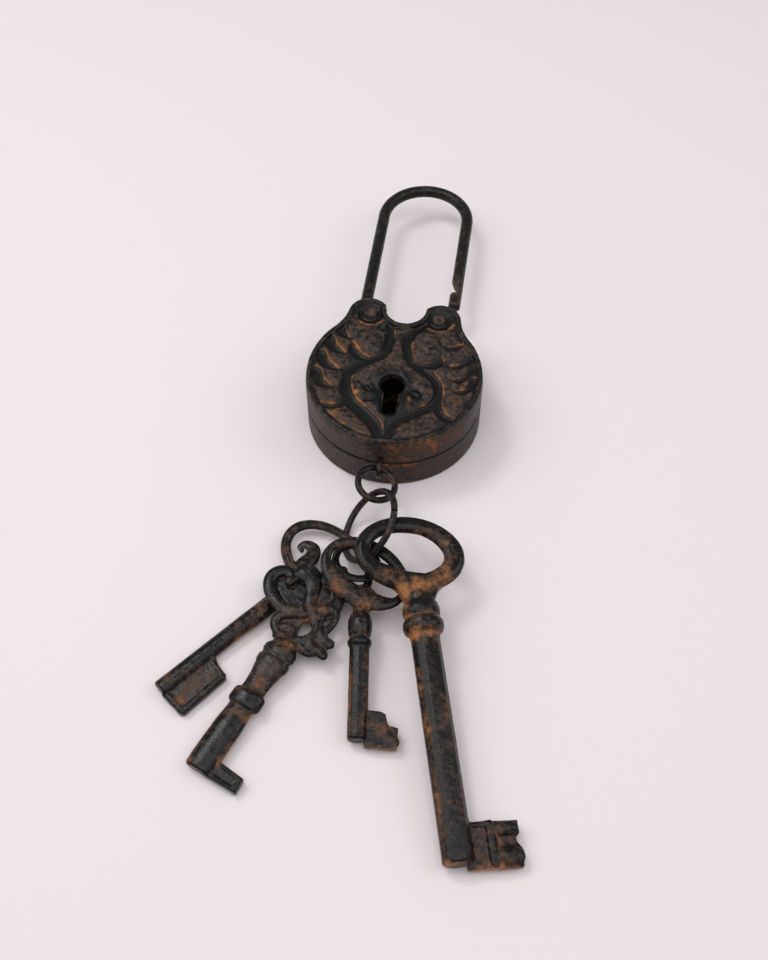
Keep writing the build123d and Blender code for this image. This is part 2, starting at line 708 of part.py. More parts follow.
# Big key: round shaft with two collars, heavy oval bow and a stepped bit
big_plane = key_plane(big_tip, big_heading, big_pitch, big_roll)
with BuildPart() as big_key:
    with BuildSketch(big_plane):
        with Locations((-0.5, 104.3)):
            Ellipse(18.8, 14.0, rotation=big_bow_turn)
        with Locations((-1.6, 105.2)):
            Ellipse(13.4, 7.4, rotation=big_bow_turn, mode=Mode.SUBTRACT)
        with Locations((-1.2, 97.0)):
            Circle(3.5)
    extrude(amount=big_bow_thickness / 2, both=True)
    fillet(big_key.edges().filter_by(GeomType.ELLIPSE), big_bow_round)
    with BuildSketch(big_plane):
        with BuildLine():
            Polyline(
                (0, 0), (4.2, 0), (4.8, 36), (4.9, 73), (6.2, 74.2), (6.7, 75.5), (6.7, 78.0), (6.2, 79.2),
                (5.6, 80.0), (5.6, 81.4), (6.0, 83.2), (6.15, 84.2), (6.15, 86.4), (5.6, 87.8), (5.0, 88.8),
                (4.2, 92.0), (2.6, 95.0), (0, 96.0), close=True,
            )
        make_face()
    revolve(axis=Axis(big_plane.origin, big_plane.y_dir))
    with BuildSketch(big_plane):
        with BuildLine():
            Polyline(
                (2.5, 12.6), (2.5, -1.5), (12.2, -1.5), (13.0, -2.6), (20.2, -2.6), (20.4, 2.3), (16.1, 5.6),
                (16.1, 6.3), (19.6, 7.6), (19.9, 12.0), (13.0, 12.0), (12.2, 12.6), close=True,
            )
        make_face()
    extrude(amount=big_bit_thickness / 2, both=True)
big_key.part.label = "big_key"
export_step(big_key.part, "parts/big_key.step")

# Small key: round shaft with a collar and ball, slanting oval bow and a stepped bit
small_plane = key_plane(small_tip, small_heading, small_pitch, small_roll)
with BuildPart() as small_key:
    with BuildSketch(small_plane):
        with Locations((0.6, 58.0)):
            Ellipse(16.5, 12.0, rotation=small_bow_turn)
        with Locations((1.8, 58.4)):
            Ellipse(13.5, 7.4, rotation=small_bow_turn, mode=Mode.SUBTRACT)
    extrude(amount=small_bow_thickness / 2, both=True)
    fillet(small_key.edges(), small_bow_round)
    with BuildSketch(small_plane):
        with BuildLine():
            Line((0, 46.5), (0, 0))
            Line((0, 0), (small_shaft_radius, 0))
            Line((small_shaft_radius, 0), (small_shaft_radius, 32.4))
            Line((small_shaft_radius, 32.4), (4.0, 32.9))
            Line((4.0, 32.9), (4.0, 34.0))
            Line((4.0, 34.0), (3.2, 35.4))
            ThreePointArc((3.2, 35.4), (4.4, 38.8), (2.4, 43.2))
            Line((2.4, 43.2), (0, 46.5))
        make_face()
    revolve(axis=Axis(small_plane.origin, small_plane.y_dir))
    with BuildSketch(small_plane):
        with BuildLine():
            Polyline(
                (2.0, 10.2), (2.0, -2.4), (12.6, -3.0), (13.2, 4.4), (9.4, 4.8), (8.2, 9.0), (6.6, 10.0),
                close=True,
            )
        make_face()
    extrude(amount=small_bit_thickness / 2, both=True)
small_key.part.label = "small_key"
export_step(small_key.part, "parts/small_key.step")

# Ornate key: baluster shaft ground flat front and back, scrolled openwork bow, loop and a single prong
ornate_plane = key_plane(ornate_tip, ornate_heading, ornate_pitch, ornate_roll)
with BuildPart() as ornate_key:
    with BuildSketch(ornate_plane):
        for points, width in ornate_scrolls:
            with BuildLine() as bar:
                Spline(*points)
            trace(bar.line, line_width=width)
    extrude(amount=ornate_bow_thickness / 2, both=True)
    with BuildSketch(ornate_plane.offset(-ornate_bow_thickness / 2)):
        with Locations((2.6, 85.6)):
            Ellipse(9.2, 7.8)
        with Locations((-1.2, 74.0)):
            Ellipse(4.0, 8.0)
        with Locations((2.8, 86.2)):
            Ellipse(6.2, 4.6, mode=Mode.SUBTRACT)
    extrude(amount=ornate_loop_thickness)
    with BuildSketch(ornate_plane):
        with BuildLine():
            Polyline(*[(x + ornate_shaft_x, y) for x, y in ornate_profile], close=True)
        make_face()
    extrude(amount=ornate_shaft_thickness / 2, both=True)
    with BuildSketch(ornate_plane):
        with Locations((8.5, 0)):
            Rectangle(11.0, 6.0)
    extrude(amount=ornate_bit_thickness / 2, both=True)
ornate_key.part.label = "ornate_key"
export_step(ornate_key.part, "parts/ornate_key.step")

# Plain key: flat shaft, oval bow with two inner scrolls and a square bit
plain_plane = key_plane(plain_tip, plain_heading, plain_pitch, plain_roll)
with BuildPart() as plain_key:
    with BuildSketch(plain_plane):
        with Locations((0, 72.0)):
            Ellipse(19.5, 13.0)
            Ellipse(16.2, 9.8, mode=Mode.SUBTRACT)
    extrude(amount=plain_bow_thickness / 2, both=True)
    fillet(plain_key.edges(), plain_bow_round)
    with BuildSketch(plain_plane):
        for side in (1, -1):
            with BuildLine() as scroll:
                Spline(
                    (side * 1.5, 60.5), (side * 2.8, 68.0), (side * 5.6, 71.8), (side * 9.6, 72.4),
                    (side * 11.2, 69.6), (side * 9.0, 68.2),
                )
            trace(scroll.line, line_width=2.6)
    extrude(amount=plain_bow_thickness / 2, both=True)
    side_plane = Plane(plain_plane.origin, x_dir=plain_plane.y_dir, z_dir=plain_plane.x_dir)
    with BuildSketch(side_plane.offset(plain_shaft_left)):
        with BuildLine():
            Polyline(
                (0, -plain_shaft_thickness / 2), (30, -plain_shaft_thickness / 2),
                (37, -plain_neck_thickness / 2), (62, -plain_neck_thickness / 2),
                (62, plain_neck_thickness / 2), (37, plain_neck_thickness / 2),
                (30, plain_shaft_thickness / 2), (0, plain_shaft_thickness / 2), close=True,
            )
        make_face()
    extrude(amount=plain_shaft_width)
    with BuildSketch(plain_plane):
        with BuildLine():
            Polyline((2.0, 21.0), (10.7, 19.8), (12.0, -0.6), (2.0, -1.0), close=True)
        make_face()
    extrude(amount=plain_bit_thickness / 2, both=True)
plain_key.part.label = "plain_key"
export_step(plain_key.part, "parts/plain_key.step")
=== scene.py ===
"""Looks of the round cast-iron padlock with its lifted shackle, rings and four keys."""
from math import cos, pi, radians, sin

import bmesh
import bpy
import numpy as np
from mathutils import Matrix, Vector


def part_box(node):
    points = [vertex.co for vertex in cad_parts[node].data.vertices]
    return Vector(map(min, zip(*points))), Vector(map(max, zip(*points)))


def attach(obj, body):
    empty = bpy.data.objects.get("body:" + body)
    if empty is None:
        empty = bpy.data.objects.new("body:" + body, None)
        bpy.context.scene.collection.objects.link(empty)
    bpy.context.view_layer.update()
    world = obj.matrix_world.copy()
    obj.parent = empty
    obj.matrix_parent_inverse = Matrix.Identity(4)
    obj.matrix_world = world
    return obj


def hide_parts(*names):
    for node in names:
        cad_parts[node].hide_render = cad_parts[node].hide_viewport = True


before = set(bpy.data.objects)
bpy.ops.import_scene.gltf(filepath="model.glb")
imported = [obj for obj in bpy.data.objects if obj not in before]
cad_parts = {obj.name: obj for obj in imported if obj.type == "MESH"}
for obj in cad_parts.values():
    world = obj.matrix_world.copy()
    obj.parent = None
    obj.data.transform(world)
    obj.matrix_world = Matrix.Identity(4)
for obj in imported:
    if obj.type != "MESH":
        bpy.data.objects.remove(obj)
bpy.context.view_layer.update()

# Rear half of the case: a sand-cast iron cup, ground flat at the parting line and dipped in
# black lacquer. Handling has thinned the lacquer, and golden rust has run down its lower wall.
# The outer wall is also painted lighter towards the left: painted light, as from a lamp on that side.
mm = 0.001
case_low, case_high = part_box("front_case")
body_radius = case_high.x / mm
face_top = case_high.z / mm
parting_z = case_low.z / mm
lug_x = 0.42 * body_radius
lug_y = 0.87 * body_radius
lug_radius = 0.245 * body_radius
notch_radius = 0.228 * body_radius
notch_y = 0.775 * body_radius + notch_radius
flare_radius = 0.6 * body_radius
case_grain = 0.40 * mm
case_lump_size = 2.6 * mm
case_lump_depth = 0.12 * mm
rear_softening = 3
groove_depth = 0.45
groove_half_width = 0.75


def cad_copy(node):
    """A merged working copy of a frame node."""
    form = bmesh.new()
    form.from_mesh(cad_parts[node].data)
    bmesh.ops.remove_doubles(form, verts=form.verts, dist=0.001 * mm)
    return form


def modified(piece, kind, **settings):
    """The piece's mesh as one modifier of this kind leaves it."""
    step = piece.modifiers.new(kind.lower(), kind)
    for name, value in settings.items():
        setattr(step, name, value)
    bpy.context.view_layer.update()
    result = bpy.data.meshes.new_from_object(piece.evaluated_get(bpy.context.evaluated_depsgraph_get()))
    piece.modifiers.remove(step)
    return result


def coordinates(mesh):
    """Places of a mesh's vertices, one row each."""
    places = np.empty(3 * len(mesh.vertices), np.float32)
    mesh.vertices.foreach_get("co", places)
    return places.reshape(-1, 3)


def facing(mesh):
    """Outward directions at a mesh's vertices, one row each."""
    normals = np.empty(3 * len(mesh.vertices), np.float32)
    mesh.vertex_normals.foreach_get("vector", normals)
    return normals.reshape(-1, 3)


def cast(name, form, grain, softening, lump_size, lump_depth):
    """A casting: one skin round the joined forms, softened and a little lumpy."""
    mesh = bpy.data.meshes.new(name)
    form.to_mesh(mesh)
    form.free()
    piece = bpy.data.objects.new(name, mesh)
    bpy.context.scene.collection.objects.link(piece)
    lumps = bpy.data.textures.new(name + "_lumps", "CLOUDS")
    lumps.noise_scale = lump_size
    lumps.noise_depth = 2
    piece.data = modified(piece, "REMESH", mode="VOXEL", voxel_size=grain)
    piece.data = modified(piece, "SMOOTH", factor=0.5, iterations=softening)
    piece.data = modified(piece, "DISPLACE", texture=lumps, strength=lump_depth, mid_level=1.0)
    piece.data.shade_smooth()
    return piece


def hollows(piece, reach=14):
    """How far, in millimetres, each vertex lies below the levelled surface round it."""
    levelled = modified(piece, "SMOOTH", factor=1.0, iterations=reach)
    depth = ((coordinates(levelled) - coordinates(piece.data)) * facing(piece.data)).sum(axis=1)
    bpy.data.meshes.remove(levelled)
    return depth / mm


def weather(piece, dust_and_painted_light, rust):
    """Keeps how dusty and how rusty each vertex is, for the material to read. The dust amount also carries
    the painted light and shade set on some pieces.
    """
    for name, amount in (("dust_and_painted_light", dust_and_painted_light), ("rust", rust)):
        layer = piece.data.attributes.new(name, "FLOAT", "POINT")
        values = np.broadcast_to(np.asarray(amount, np.float32), len(piece.data.vertices))
        layer.data.foreach_set("value", np.ascontiguousarray(values))


def eased(value, low, high):
    """0 below low, 1 above high, eased between."""
    t = np.clip((value - low) / (high - low), 0, 1)
    return t * t * (3 - 2 * t)


lug_reach = np.hypot(lug_x, lug_y)
disc_to_flare = body_radius + flare_radius
lug_to_flare = lug_radius + flare_radius
flare_along = (disc_to_flare**2 - lug_to_flare**2 + lug_reach**2) / (2 * lug_reach)
flare_across = np.sqrt(disc_to_flare**2 - flare_along**2)
flare_x = (lug_x * flare_along + lug_y * flare_across) / lug_reach
flare_y = (lug_y * flare_along - lug_x * flare_across) / lug_reach


def outline_depth(x, y):
    """How far each place lies inside the outline of disc, flared lugs and notch."""
    side = np.abs(x)
    disc = body_radius - np.hypot(x, y)
    lugs = lug_radius - np.hypot(side - lug_x, y - lug_y)
    beside = flare_x * y - flare_y * side
    below = (lug_x - flare_x) * (y - flare_y) - (lug_y - flare_y) * (side - flare_x)
    flares = np.hypot(side - flare_x, y - flare_y) - flare_radius
    within = (beside > 0) & (below > 0) & (lug_x * y < lug_y * side)
    body = np.maximum(disc, lugs)
    notch = np.hypot(x, y - notch_y) - notch_radius
    return np.minimum(np.where(within, np.maximum(body, flares), body), notch)


def cut_parting_groove(piece):
    """Draws the outer wall in along the parting line, where the halves meet."""
    places = coordinates(piece.data)
    x, y, z = places.T / mm
    nearness = 1 - np.abs(z - parting_z) / groove_half_width
    draw = groove_depth * eased(nearness, 0, 1) * (1 - eased(outline_depth(x, y), 0.8, 1.6))
    shift = facing(piece.data) * np.array([1, 1, 0])
    length = np.maximum(np.linalg.norm(shift, axis=1, keepdims=True), 0.3)
    moved = places - shift / length * (draw * mm)[:, None]
    piece.data.vertices.foreach_set("co", moved.astype(np.float32).ravel())
    piece.data.update()


def wall_weather_and_painted_light(piece):
    """Dust and rust of the outer wall: a golden smear at the bottom, right of the staple. Less dust towards
    the right paints the left of the wall lighter: painted light.
    """
    x, y, z = coordinates(piece.data).T / mm
    wall = 1 - eased(np.abs(facing(piece.data)[:, 2]), 0.4, 0.8)
    smear = eased(x, -9, 3) * (1 - eased(x, 16, 28)) * eased(-y, 6, 20)
    height = z / face_top
    right = eased(x, 16, 28)
    groove = 1 - eased(np.abs(z - parting_z), 0.2, 0.9)
    lower_lip = np.exp(-(((z - parting_z + 1.2) / 0.6) ** 2))
    # Painted light: the dust amount falls off towards the right, so the left of the wall is painted lighter,
    # as if lit from that side.
    dust_and_painted_light = 0.62 - 0.2 * eased(x, -14, 6) * (1 - smear) - 0.9 * groove
    rust = wall * (0.08 + smear * (0.24 + 0.24 * height) + 0.14 * right + 0.16 * lower_lip) - 0.3 * groove
    return dust_and_painted_light, rust


def tint(red, green, blue):
    """A colour as it is seen on a screen, 0 to 255, made linear."""
    channels = [value / 255 for value in (red, green, blue)]
    linear = [c / 12.92 if c <= 0.04045 else ((c + 0.055) / 1.055) ** 2.4 for c in channels]
    return (*linear, 1.0)


class Field:
    """One socket of a material; arithmetic between Fields and numbers adds Math nodes."""

    def __init__(self, tree, socket=None):
        self.tree = tree
        self.socket = socket

    def node(self, kind, settings=None, sockets=None, output=0):
        """Adds a node, sets it up, fills or links its sockets and returns one of its outputs."""
        made = self.tree.nodes.new("ShaderNode" + kind)
        for name, value in (settings or {}).items():
            setattr(made, name, value)
        for name, value in (sockets or {}).items():
            if isinstance(value, Field):
                self.tree.links.new(value.socket, made.inputs[name])
            else:
                made.inputs[name].default_value = value
        return Field(self.tree, None if output is None else made.outputs[output])

    def math(self, operation, first, second):
        return self.node("Math", {"operation": operation}, {0: first, 1: second})

    def __add__(self, other):
        return self.math("ADD", self, other)

    def __sub__(self, other):
        return self.math("SUBTRACT", self, other)

    def __rsub__(self, other):
        return self.math("SUBTRACT", other, self)

    def __mul__(self, other):
        return self.math("MULTIPLY", self, other)

    __radd__ = __add__
    __rmul__ = __mul__

    def ramp(self, low, high):
        """0 below low, 1 above high, eased between."""
        limits = {"Value": self, "From Min": low, "From Max": high}
        return self.node("MapRange", {"interpolation_type": "SMOOTHSTEP"}, limits)

    def blend(self, low, high):
        """A colour that goes from low to high as this Field goes from 0 to 1."""
        return self.node("Mix", {"data_type": "RGBA"}, {0: self, 6: low, 7: high}, 2)


def new_finish(name):
    """An empty material and the Field that its nodes grow from."""
    material = bpy.data.materials.new(name)
    material.use_nodes = True
    material.node_tree.nodes.clear()
    return material, Field(material.node_tree)


def speckle(root, size, detail=4.0, roughness=0.55):
    """Noise about 0 with spots of about this size."""
    place = root.node("TexCoord", output=3)
    settings = {"Vector": place, "Scale": 1 / size, "Detail": detail, "Roughness": roughness}
    return root.node("TexNoise", None, settings) - 0.5


def surface(root, sockets, bump, bump_depth):
    """Closes a finish: one shader, with its relief, on the material's output."""
    relief = root.node("Bump", None, {"Strength": 1.0, "Distance": bump_depth, "Height": bump})
    shader = root.node("BsdfPrincipled", None, {**sockets, "Normal": relief})
    root.node("OutputMaterial", None, {"Surface": shader}, None)


lacquer_black = tint(17, 16, 17)
dust_grey = tint(58, 49, 47)
dust_tan = tint(88, 69, 57)
rust_brown = tint(76, 52, 37)
rust_orange = tint(160, 104, 62)


def aged_lacquer(name, gloss, pitting=0.10 * mm, mottle=1.0):
    """Black lacquer over cast iron, with brown dust and orange rust as the piece's vertices say. Painted
    light and shade carried on the dust amount come out as lighter or darker colour.
    """
    material, root = new_finish(name)
    dust_and_painted_light = root.node("Attribute", {"attribute_name": "dust_and_painted_light"}, output=2)
    rust = root.node("Attribute", {"attribute_name": "rust"}, output=2)
    broad = speckle(root, 7 * mm)
    middle = speckle(root, 1.9 * mm)
    fine = speckle(root, 0.6 * mm, detail=6.0, roughness=0.7)
    dust_and_light_amount = (dust_and_painted_light + (broad * 1.2 + middle * 2.2 + fine * 1.6) * mottle).ramp(0.05, 1.0)
    rusting = rust + broad * 1.3 + middle * 1.2 + fine * 1.0
    rusty = rusting.ramp(0.16, 0.62)
    powder = (0.4 + middle * 2.4 + fine * 2.0).ramp(0.0, 1.0).blend(dust_grey, dust_tan)
    base = dust_and_light_amount.blend(lacquer_black, powder)
    stain = rusting.ramp(0.42, 1.1).blend(rust_brown, rust_orange)
    rough = gloss + dust_and_light_amount * 0.18 + rusty * 0.3 + fine * 0.16
    looks = {
        "Base Color": rusty.blend(base, stain),
        "Roughness": rough,
        "Specular IOR Level": 0.24,
        "IOR": 1.5,
    }
    surface(root, looks, fine * 0.6 + middle * 0.8 + rusty * fine * 0.8, pitting)
    return material


rear_form = cad_copy("rear_case")
rear_case = cast("rear_half", rear_form, case_grain, rear_softening, case_lump_size, case_lump_depth)
cut_parting_groove(rear_case)
weather(rear_case, *wall_weather_and_painted_light(rear_case))
case_lacquer = aged_lacquer("case_lacquer", gloss=0.36)
rear_case.data.materials.append(case_lacquer)
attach(rear_case, "case")
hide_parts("rear_case")

# Works inside the case: the bolt with its pins, cap plate, screws and spring, and the heel block
# with its washer. They are sawn and filed from mild steel and left bright under a film of oil.
oil_dark = tint(84, 80, 76)
steel_bright = tint(150, 148, 144)


def filed_metal(name, dark, bright, roughness):
    """Filed metal under oil: fine scratches one way, darker where oil has gathered."""
    material, root = new_finish(name)
    place = root.node("TexCoord", output=3)
    stretched = root.node("Mapping", None, {"Vector": place, "Scale": (0.12, 1.0, 1.0)})
    strokes = root.node("TexNoise", None, {"Vector": stretched, "Scale": 1 / (0.25 * mm), "Detail": 3.0})
    oily = speckle(root, 3 * mm).ramp(-0.15, 0.15)
    colour = (oily * 0.7 + strokes * 0.3).blend(dark, bright)
    looks = {"Base Color": colour, "Metallic": 1.0, "Roughness": roughness + (strokes - 0.5) * 0.2}
    surface(root, looks, strokes, 0.02 * mm)
    return material


filed_steel = filed_metal("filed_steel", oil_dark, steel_bright, 0.38)
for node in (
    "locking_bolt", "bolt_guide_pins", "cap_plate", "cap_plate_screws", "bolt_spring",
    "heel_block", "heel_washer",
):
    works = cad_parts[node].data
    works.materials.clear()
    works.materials.append(filed_steel)

# Wards and key guide: cut from brass tube and sheet, and soldered in place inside the case where
# the key turns. Nothing polishes the brass there, so it has gone dull and dark.
ward_dark = tint(62, 47, 26)
ward_bright = tint(118, 92, 50)
dull_brass = filed_metal("dull_brass", ward_dark, ward_bright, 0.42)
for node in ("key_guide_bush", "rear_ward", "front_ward"):
    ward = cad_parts[node].data
    ward.materials.clear()
    ward.materials.append(dull_brass)

# Front half of the case: the same sand casting with scrollwork in relief. The panels swell like
# cushions between sunk channels. The lacquer stays black in the channels, rubs brown on the
# cushions, and rusts orange along their lower lips.
face_base = 22.4
face_full = 22.8
plate_bottom = 21.8
face_step = 0.24
half_face = 37.0
cells = int(2 * half_face / face_step)
channel_floor = 23.0
cushion_edge = 23.75
cushion_rise = 1.05
cushion_reach = 3.8
dome_rise = 0.5
rim_width = 2.2
rim_base = 24.0
rim_rise = 0.85
rim_gap = 0.3
rim_margin = 0.12
bank_foot = -0.7
bank_top = 0.3
keyhole_dip = 0.6
keyhole_dip_reach = 1.2
front_softening = 2
face_lump_depth = 0.06 * mm


def course(points, steps=10):
    """A smooth line through the points, as many short steps for each span."""
    p = np.array(points, float)
    p = np.vstack([2 * p[0] - p[1], p, 2 * p[-1] - p[-2]])
    t = np.linspace(0, 1, steps, endpoint=False)[:, None]
    spans = []
    for a, b, c, d in zip(p[:-3], p[1:-2], p[2:-1], p[3:]):
        spans.append(
            b + 0.5 * t * (c - a + t * (2 * a - 5 * b + 4 * c - d + t * (3 * (b - c) + d - a)))
        )
    return np.vstack(spans + [p[-2:-1]])


def stroke_edge(x, y, points, widths):
    """Distance outside a stroke along the points, as wide at its ends and between as widths says."""
    line = course(points)
    shares = np.linspace(0, 1, len(line))
    halves = np.interp(shares, np.linspace(0, 1, len(widths)), widths) / 2
    nearest = np.full(x.shape, 1e3)
    for a, b, first, last in zip(line[:-1], line[1:], halves[:-1], halves[1:]):
        span = b - a
        share = np.clip(((x - a[0]) * span[0] + (y - a[1]) * span[1]) / max(span @ span, 1e-9), 0, 1)
        away = np.hypot(x - a[0] - share * span[0], y - a[1] - share * span[1])
        nearest = np.minimum(nearest, away - first - share * (last - first))
    return nearest


# Strokes of the scrollwork, in millimetres on the face: the line and its widths
stems = [
    [
        (-4.6, 24.6), (-4.1, 17.2), (-4.5, 11.6), (-6.5, 7.8), (-10.4, 5.5), (-14.6, 2.4), (-16.6, -1.4),
        (-16.6, -6.6), (-15.4, -11.6), (-13.0, -15.4), (-8.4, -19.6), (-4.2, -23.6), (-1.6, -28.2),
    ],
    [
        (7.4, 25.6), (4.2, 21.2), (2.9, 16.8), (3.4, 11.3), (5.6, 6.8), (9.6, 3.8), (13.6, 1.0), (16.4, -3.2),
        (17.2, -8.4), (15.0, -12.8), (10.2, -16.4), (5.6, -20.0), (2.3, -24.0), (1.2, -28.2),
    ],
]
hooks = [
    [(-17.8, 13.6), (-16.7, 9.8), (-14.3, 7.3), (-11.0, 6.2), (-7.8, 6.9)],
    [(16.0, 11.2), (15.4, 8.0), (13.0, 6.0), (9.6, 5.6), (6.6, 6.6)],
]
branches = [
    [(-15.6, -12.4), (-17.6, -16.6), (-21.8, -18.0), (-26.4, -17.0)],
    [(17.0, -9.6), (17.8, -14.2), (20.4, -17.3), (24.6, -18.6)],
]
scales = [
    [(-23.8, 22.8), (-22.8, 18.6), (-19.4, 15.2)], [(-26.6, 13.8), (-24.0, 9.8), (-19.2, 7.5)],
    [(-28.4, 6.0), (-25.8, 1.8), (-20.9, -0.5)], [(-28.8, -2.4), (-26.4, -7.0), (-21.7, -8.9)],
]
slits = [
    [(17.0, 15.5), (20.6, 16.0), (23.9, 18.1)],
    [(19.1, 6.5), (21.7, 6.6), (24.0, 8.0), (27.8, 11.8)],
    [(20.9, 0.0), (23.4, 0.4), (25.6, 2.0), (28.8, 7.0)],
    [(22.5, -5.4), (25.2, -5.0), (27.6, -3.2), (29.4, 1.0)],
]
curl = [(-6.8, -5.6), (-5.0, -8.4), (-5.6, -11.8), (-8.8, -13.4)]
dimples = [([(-9.0, -7.9), (-8.4, -8.3)], (2.6, 2.4)), ([(8.3, -8.2), (9.3, -9.0)], (3.2, 3.2))]
strokes = [
    (stems[0], (3.0, 3.1, 3.1, 3.1, 3.2, 4.6, 5.2, 4.2)),
    (stems[1], (3.0, 3.1, 3.1, 3.1, 3.0, 3.6, 3.4)),
]
strokes += [(hook, (0.8, 3.4, 3.0, 2.2, 2.4)) for hook in hooks]
strokes += [(branches[0], (2.8, 2.4, 1.6)), (branches[1], (3.0, 3.0, 1.8))]
strokes += [(scale, (4.4, 4.0, 3.0, 0.6)) for scale in scales]
strokes += [(slits[0], (0.4, 2.0, 0.8))] + [(slit, (0.4, 2.1, 1.8, 3.2)) for slit in slits[1:]]
strokes += [(curl, (0.8, 2.2, 2.0, 0.8))] + dimples
creases = [
    [(-5.4, 20.8), (-9.4, 21.0), (-14.0, 19.4), (-17.2, 15.2)],
    [(4.0, 22.0), (8.4, 22.0), (13.2, 19.8), (16.0, 13.0)],
    [(-8.2, -11.6), (-11.4, -11.0), (-13.4, -8.2)],
    [(12.4, -10.6), (9.0, -12.6), (6.0, -11.0)],
]
crease_width = 1.6
crease_depth = 0.35
domes = [(-10.6, 15.4, 6.2), (9.6, 15.6, 6.6), (-10.6, -8.2, 4.0), (10.6, -7.6, 5.4)]
boss_places = [(-lug_x + 0.6, lug_y), (lug_x - 0.6, lug_y)]
boss_dot = 2.25
boss_ring = 4.5
boss_lip = 5.7
keyhole_centre = (-0.1, -5.3)
keyhole_radius = 4.5
keyhole_slot = [(-0.1, -6.0), (0.0, -11.0), (0.1, -16.3)]
keyhole_slot_widths = (7.2, 6.8, 5.8)


def keyhole_edge(x, y):
    """Distance outside the keyhole's edge, negative within it."""
    bow = np.hypot(x - keyhole_centre[0], y - keyhole_centre[1]) - keyhole_radius
    return np.minimum(bow, stroke_edge(x, y, keyhole_slot, keyhole_slot_widths))


def channel_edge(x, y):
    """Distance from the nearest channel's edge: above 0 on the cushions, below 0 in a channel."""
    edge = outline_depth(x, y) - rim_width - rim_gap
    for points, widths in strokes:
        edge = np.minimum(edge, stroke_edge(x, y, points, widths))
    for bx, by in boss_places:
        middle = (boss_dot + boss_ring) / 2
        edge = np.minimum(edge, np.abs(np.hypot(x - bx, y - by) - middle) - boss_ring + middle)
    return edge


def creased(x, y):
    """How far each place lies in a crease: 1 on its line, 0 beside it."""
    return sum(1 - eased(stroke_edge(x, y, line, (0, 0)), 0, crease_width) for line in creases)


def face_height(x, y, edge):
    """Height of the cast face: cushions and domes between flat channels, inside a rounded rim."""
    height = cushion_edge + cushion_rise * np.sin(pi / 2 * np.clip(edge / cushion_reach, 0, 1))
    for dome_x, dome_y, dome_radius in domes:
        share = np.hypot(x - dome_x, y - dome_y) / dome_radius
        height = height + dome_rise * np.sqrt(np.clip(1 - share**2, 0, 1))
    height = height - crease_depth * creased(x, y)
    height = channel_floor + (height - channel_floor) * eased(edge, bank_foot, bank_top)
    inset = outline_depth(x, y)
    across = np.clip(2 * inset / rim_width - 1, -1, 1)
    rim = rim_base + rim_rise * np.sqrt(1 - across**2)
    behind_rim = np.where(inset > 0.8 * rim_width, height, 0)
    height = np.where(inset < rim_width, np.maximum(rim, behind_rim), height)
    return height - keyhole_dip * (1 - eased(keyhole_edge(x, y), 0.0, keyhole_dip_reach))


front_form = cad_copy("front_case")
for vertex in front_form.verts:
    vertex.co.z = min(vertex.co.z, face_base * mm)
grid = bmesh.ops.create_grid(front_form, x_segments=cells, y_segments=cells, size=half_face * mm)
grid_verts = grid["verts"]
grid_x, grid_y = np.array([vertex.co.xy for vertex in grid_verts]).T / mm
heights = face_height(grid_x, grid_y, channel_edge(grid_x, grid_y))
inside = (outline_depth(grid_x, grid_y) > rim_margin) & (keyhole_edge(grid_x, grid_y) > 0)
for vertex, height in zip(grid_verts, heights):
    vertex.co.z = height * mm
kept_verts = [vertex for vertex, kept in zip(grid_verts, inside) if kept]
spare_verts = [vertex for vertex, kept in zip(grid_verts, inside) if not kept]
bmesh.ops.delete(front_form, geom=spare_verts, context="VERTS")
plate_faces = list({face for vertex in kept_verts for face in vertex.link_faces})
lower = bmesh.ops.extrude_face_region(front_form, geom=plate_faces)["geom"]
for element in lower:
    if isinstance(element, bmesh.types.BMVert):
        element.co.z = plate_bottom * mm
bmesh.ops.reverse_faces(front_form, faces=[f for f in lower if isinstance(f, bmesh.types.BMFace)])
front_case = cast("front_half", front_form, case_grain, front_softening, case_lump_size, face_lump_depth)
cut_parting_groove(front_case)


def patched(across, along, patches):
    """Dust or rust in soft round patches, each with its place, its reach each way and its amount."""
    total = np.zeros(len(across))
    for x, y, reach_x, reach_y, amount in patches:
        total = total + amount * np.exp(-(((across - x) / reach_x) ** 2) - ((along - y) / reach_y) ** 2)
    return total


face_patches = [
    (-19.5, -20.5, 5.0, 2.8, 0.42), (-12.0, -25.5, 6.0, 2.4, 0.30), (5.0, -25.5, 3.0, 2.0, 0.24),
    (23.0, -12.0, 3.4, 4.4, 0.28), (27.0, 2.0, 2.0, 9.0, 0.20), (-23.0, 4.0, 5.0, 13.0, 0.20),
    (-13.5, 11.5, 3.0, 3.0, 0.16), (-3.0, 14.0, 2.0, 8.0, 0.12), (19.4, -19.4, 2.4, 1.4, 0.45),
    (26.0, -2.2, 1.8, 1.6, 0.4), (-25.4, 17.0, 1.4, 1.8, 0.5), (-26.6, 10.0, 1.7, 2.4, 0.55),
    (-28.2, 1.6, 1.5, 2.4, 0.55), (-28.8, -7.0, 1.2, 2.6, 0.45), (-24.6, -10.6, 4.0, 1.0, 0.35),
    (-12.7, -10.4, 1.6, 0.9, 0.85), (6.9, -11.3, 1.1, 1.6, 0.9), (20.0, -14.6, 1.6, 2.0, 0.5),
    (4.0, -25.0, 2.0, 1.2, 0.4),
]


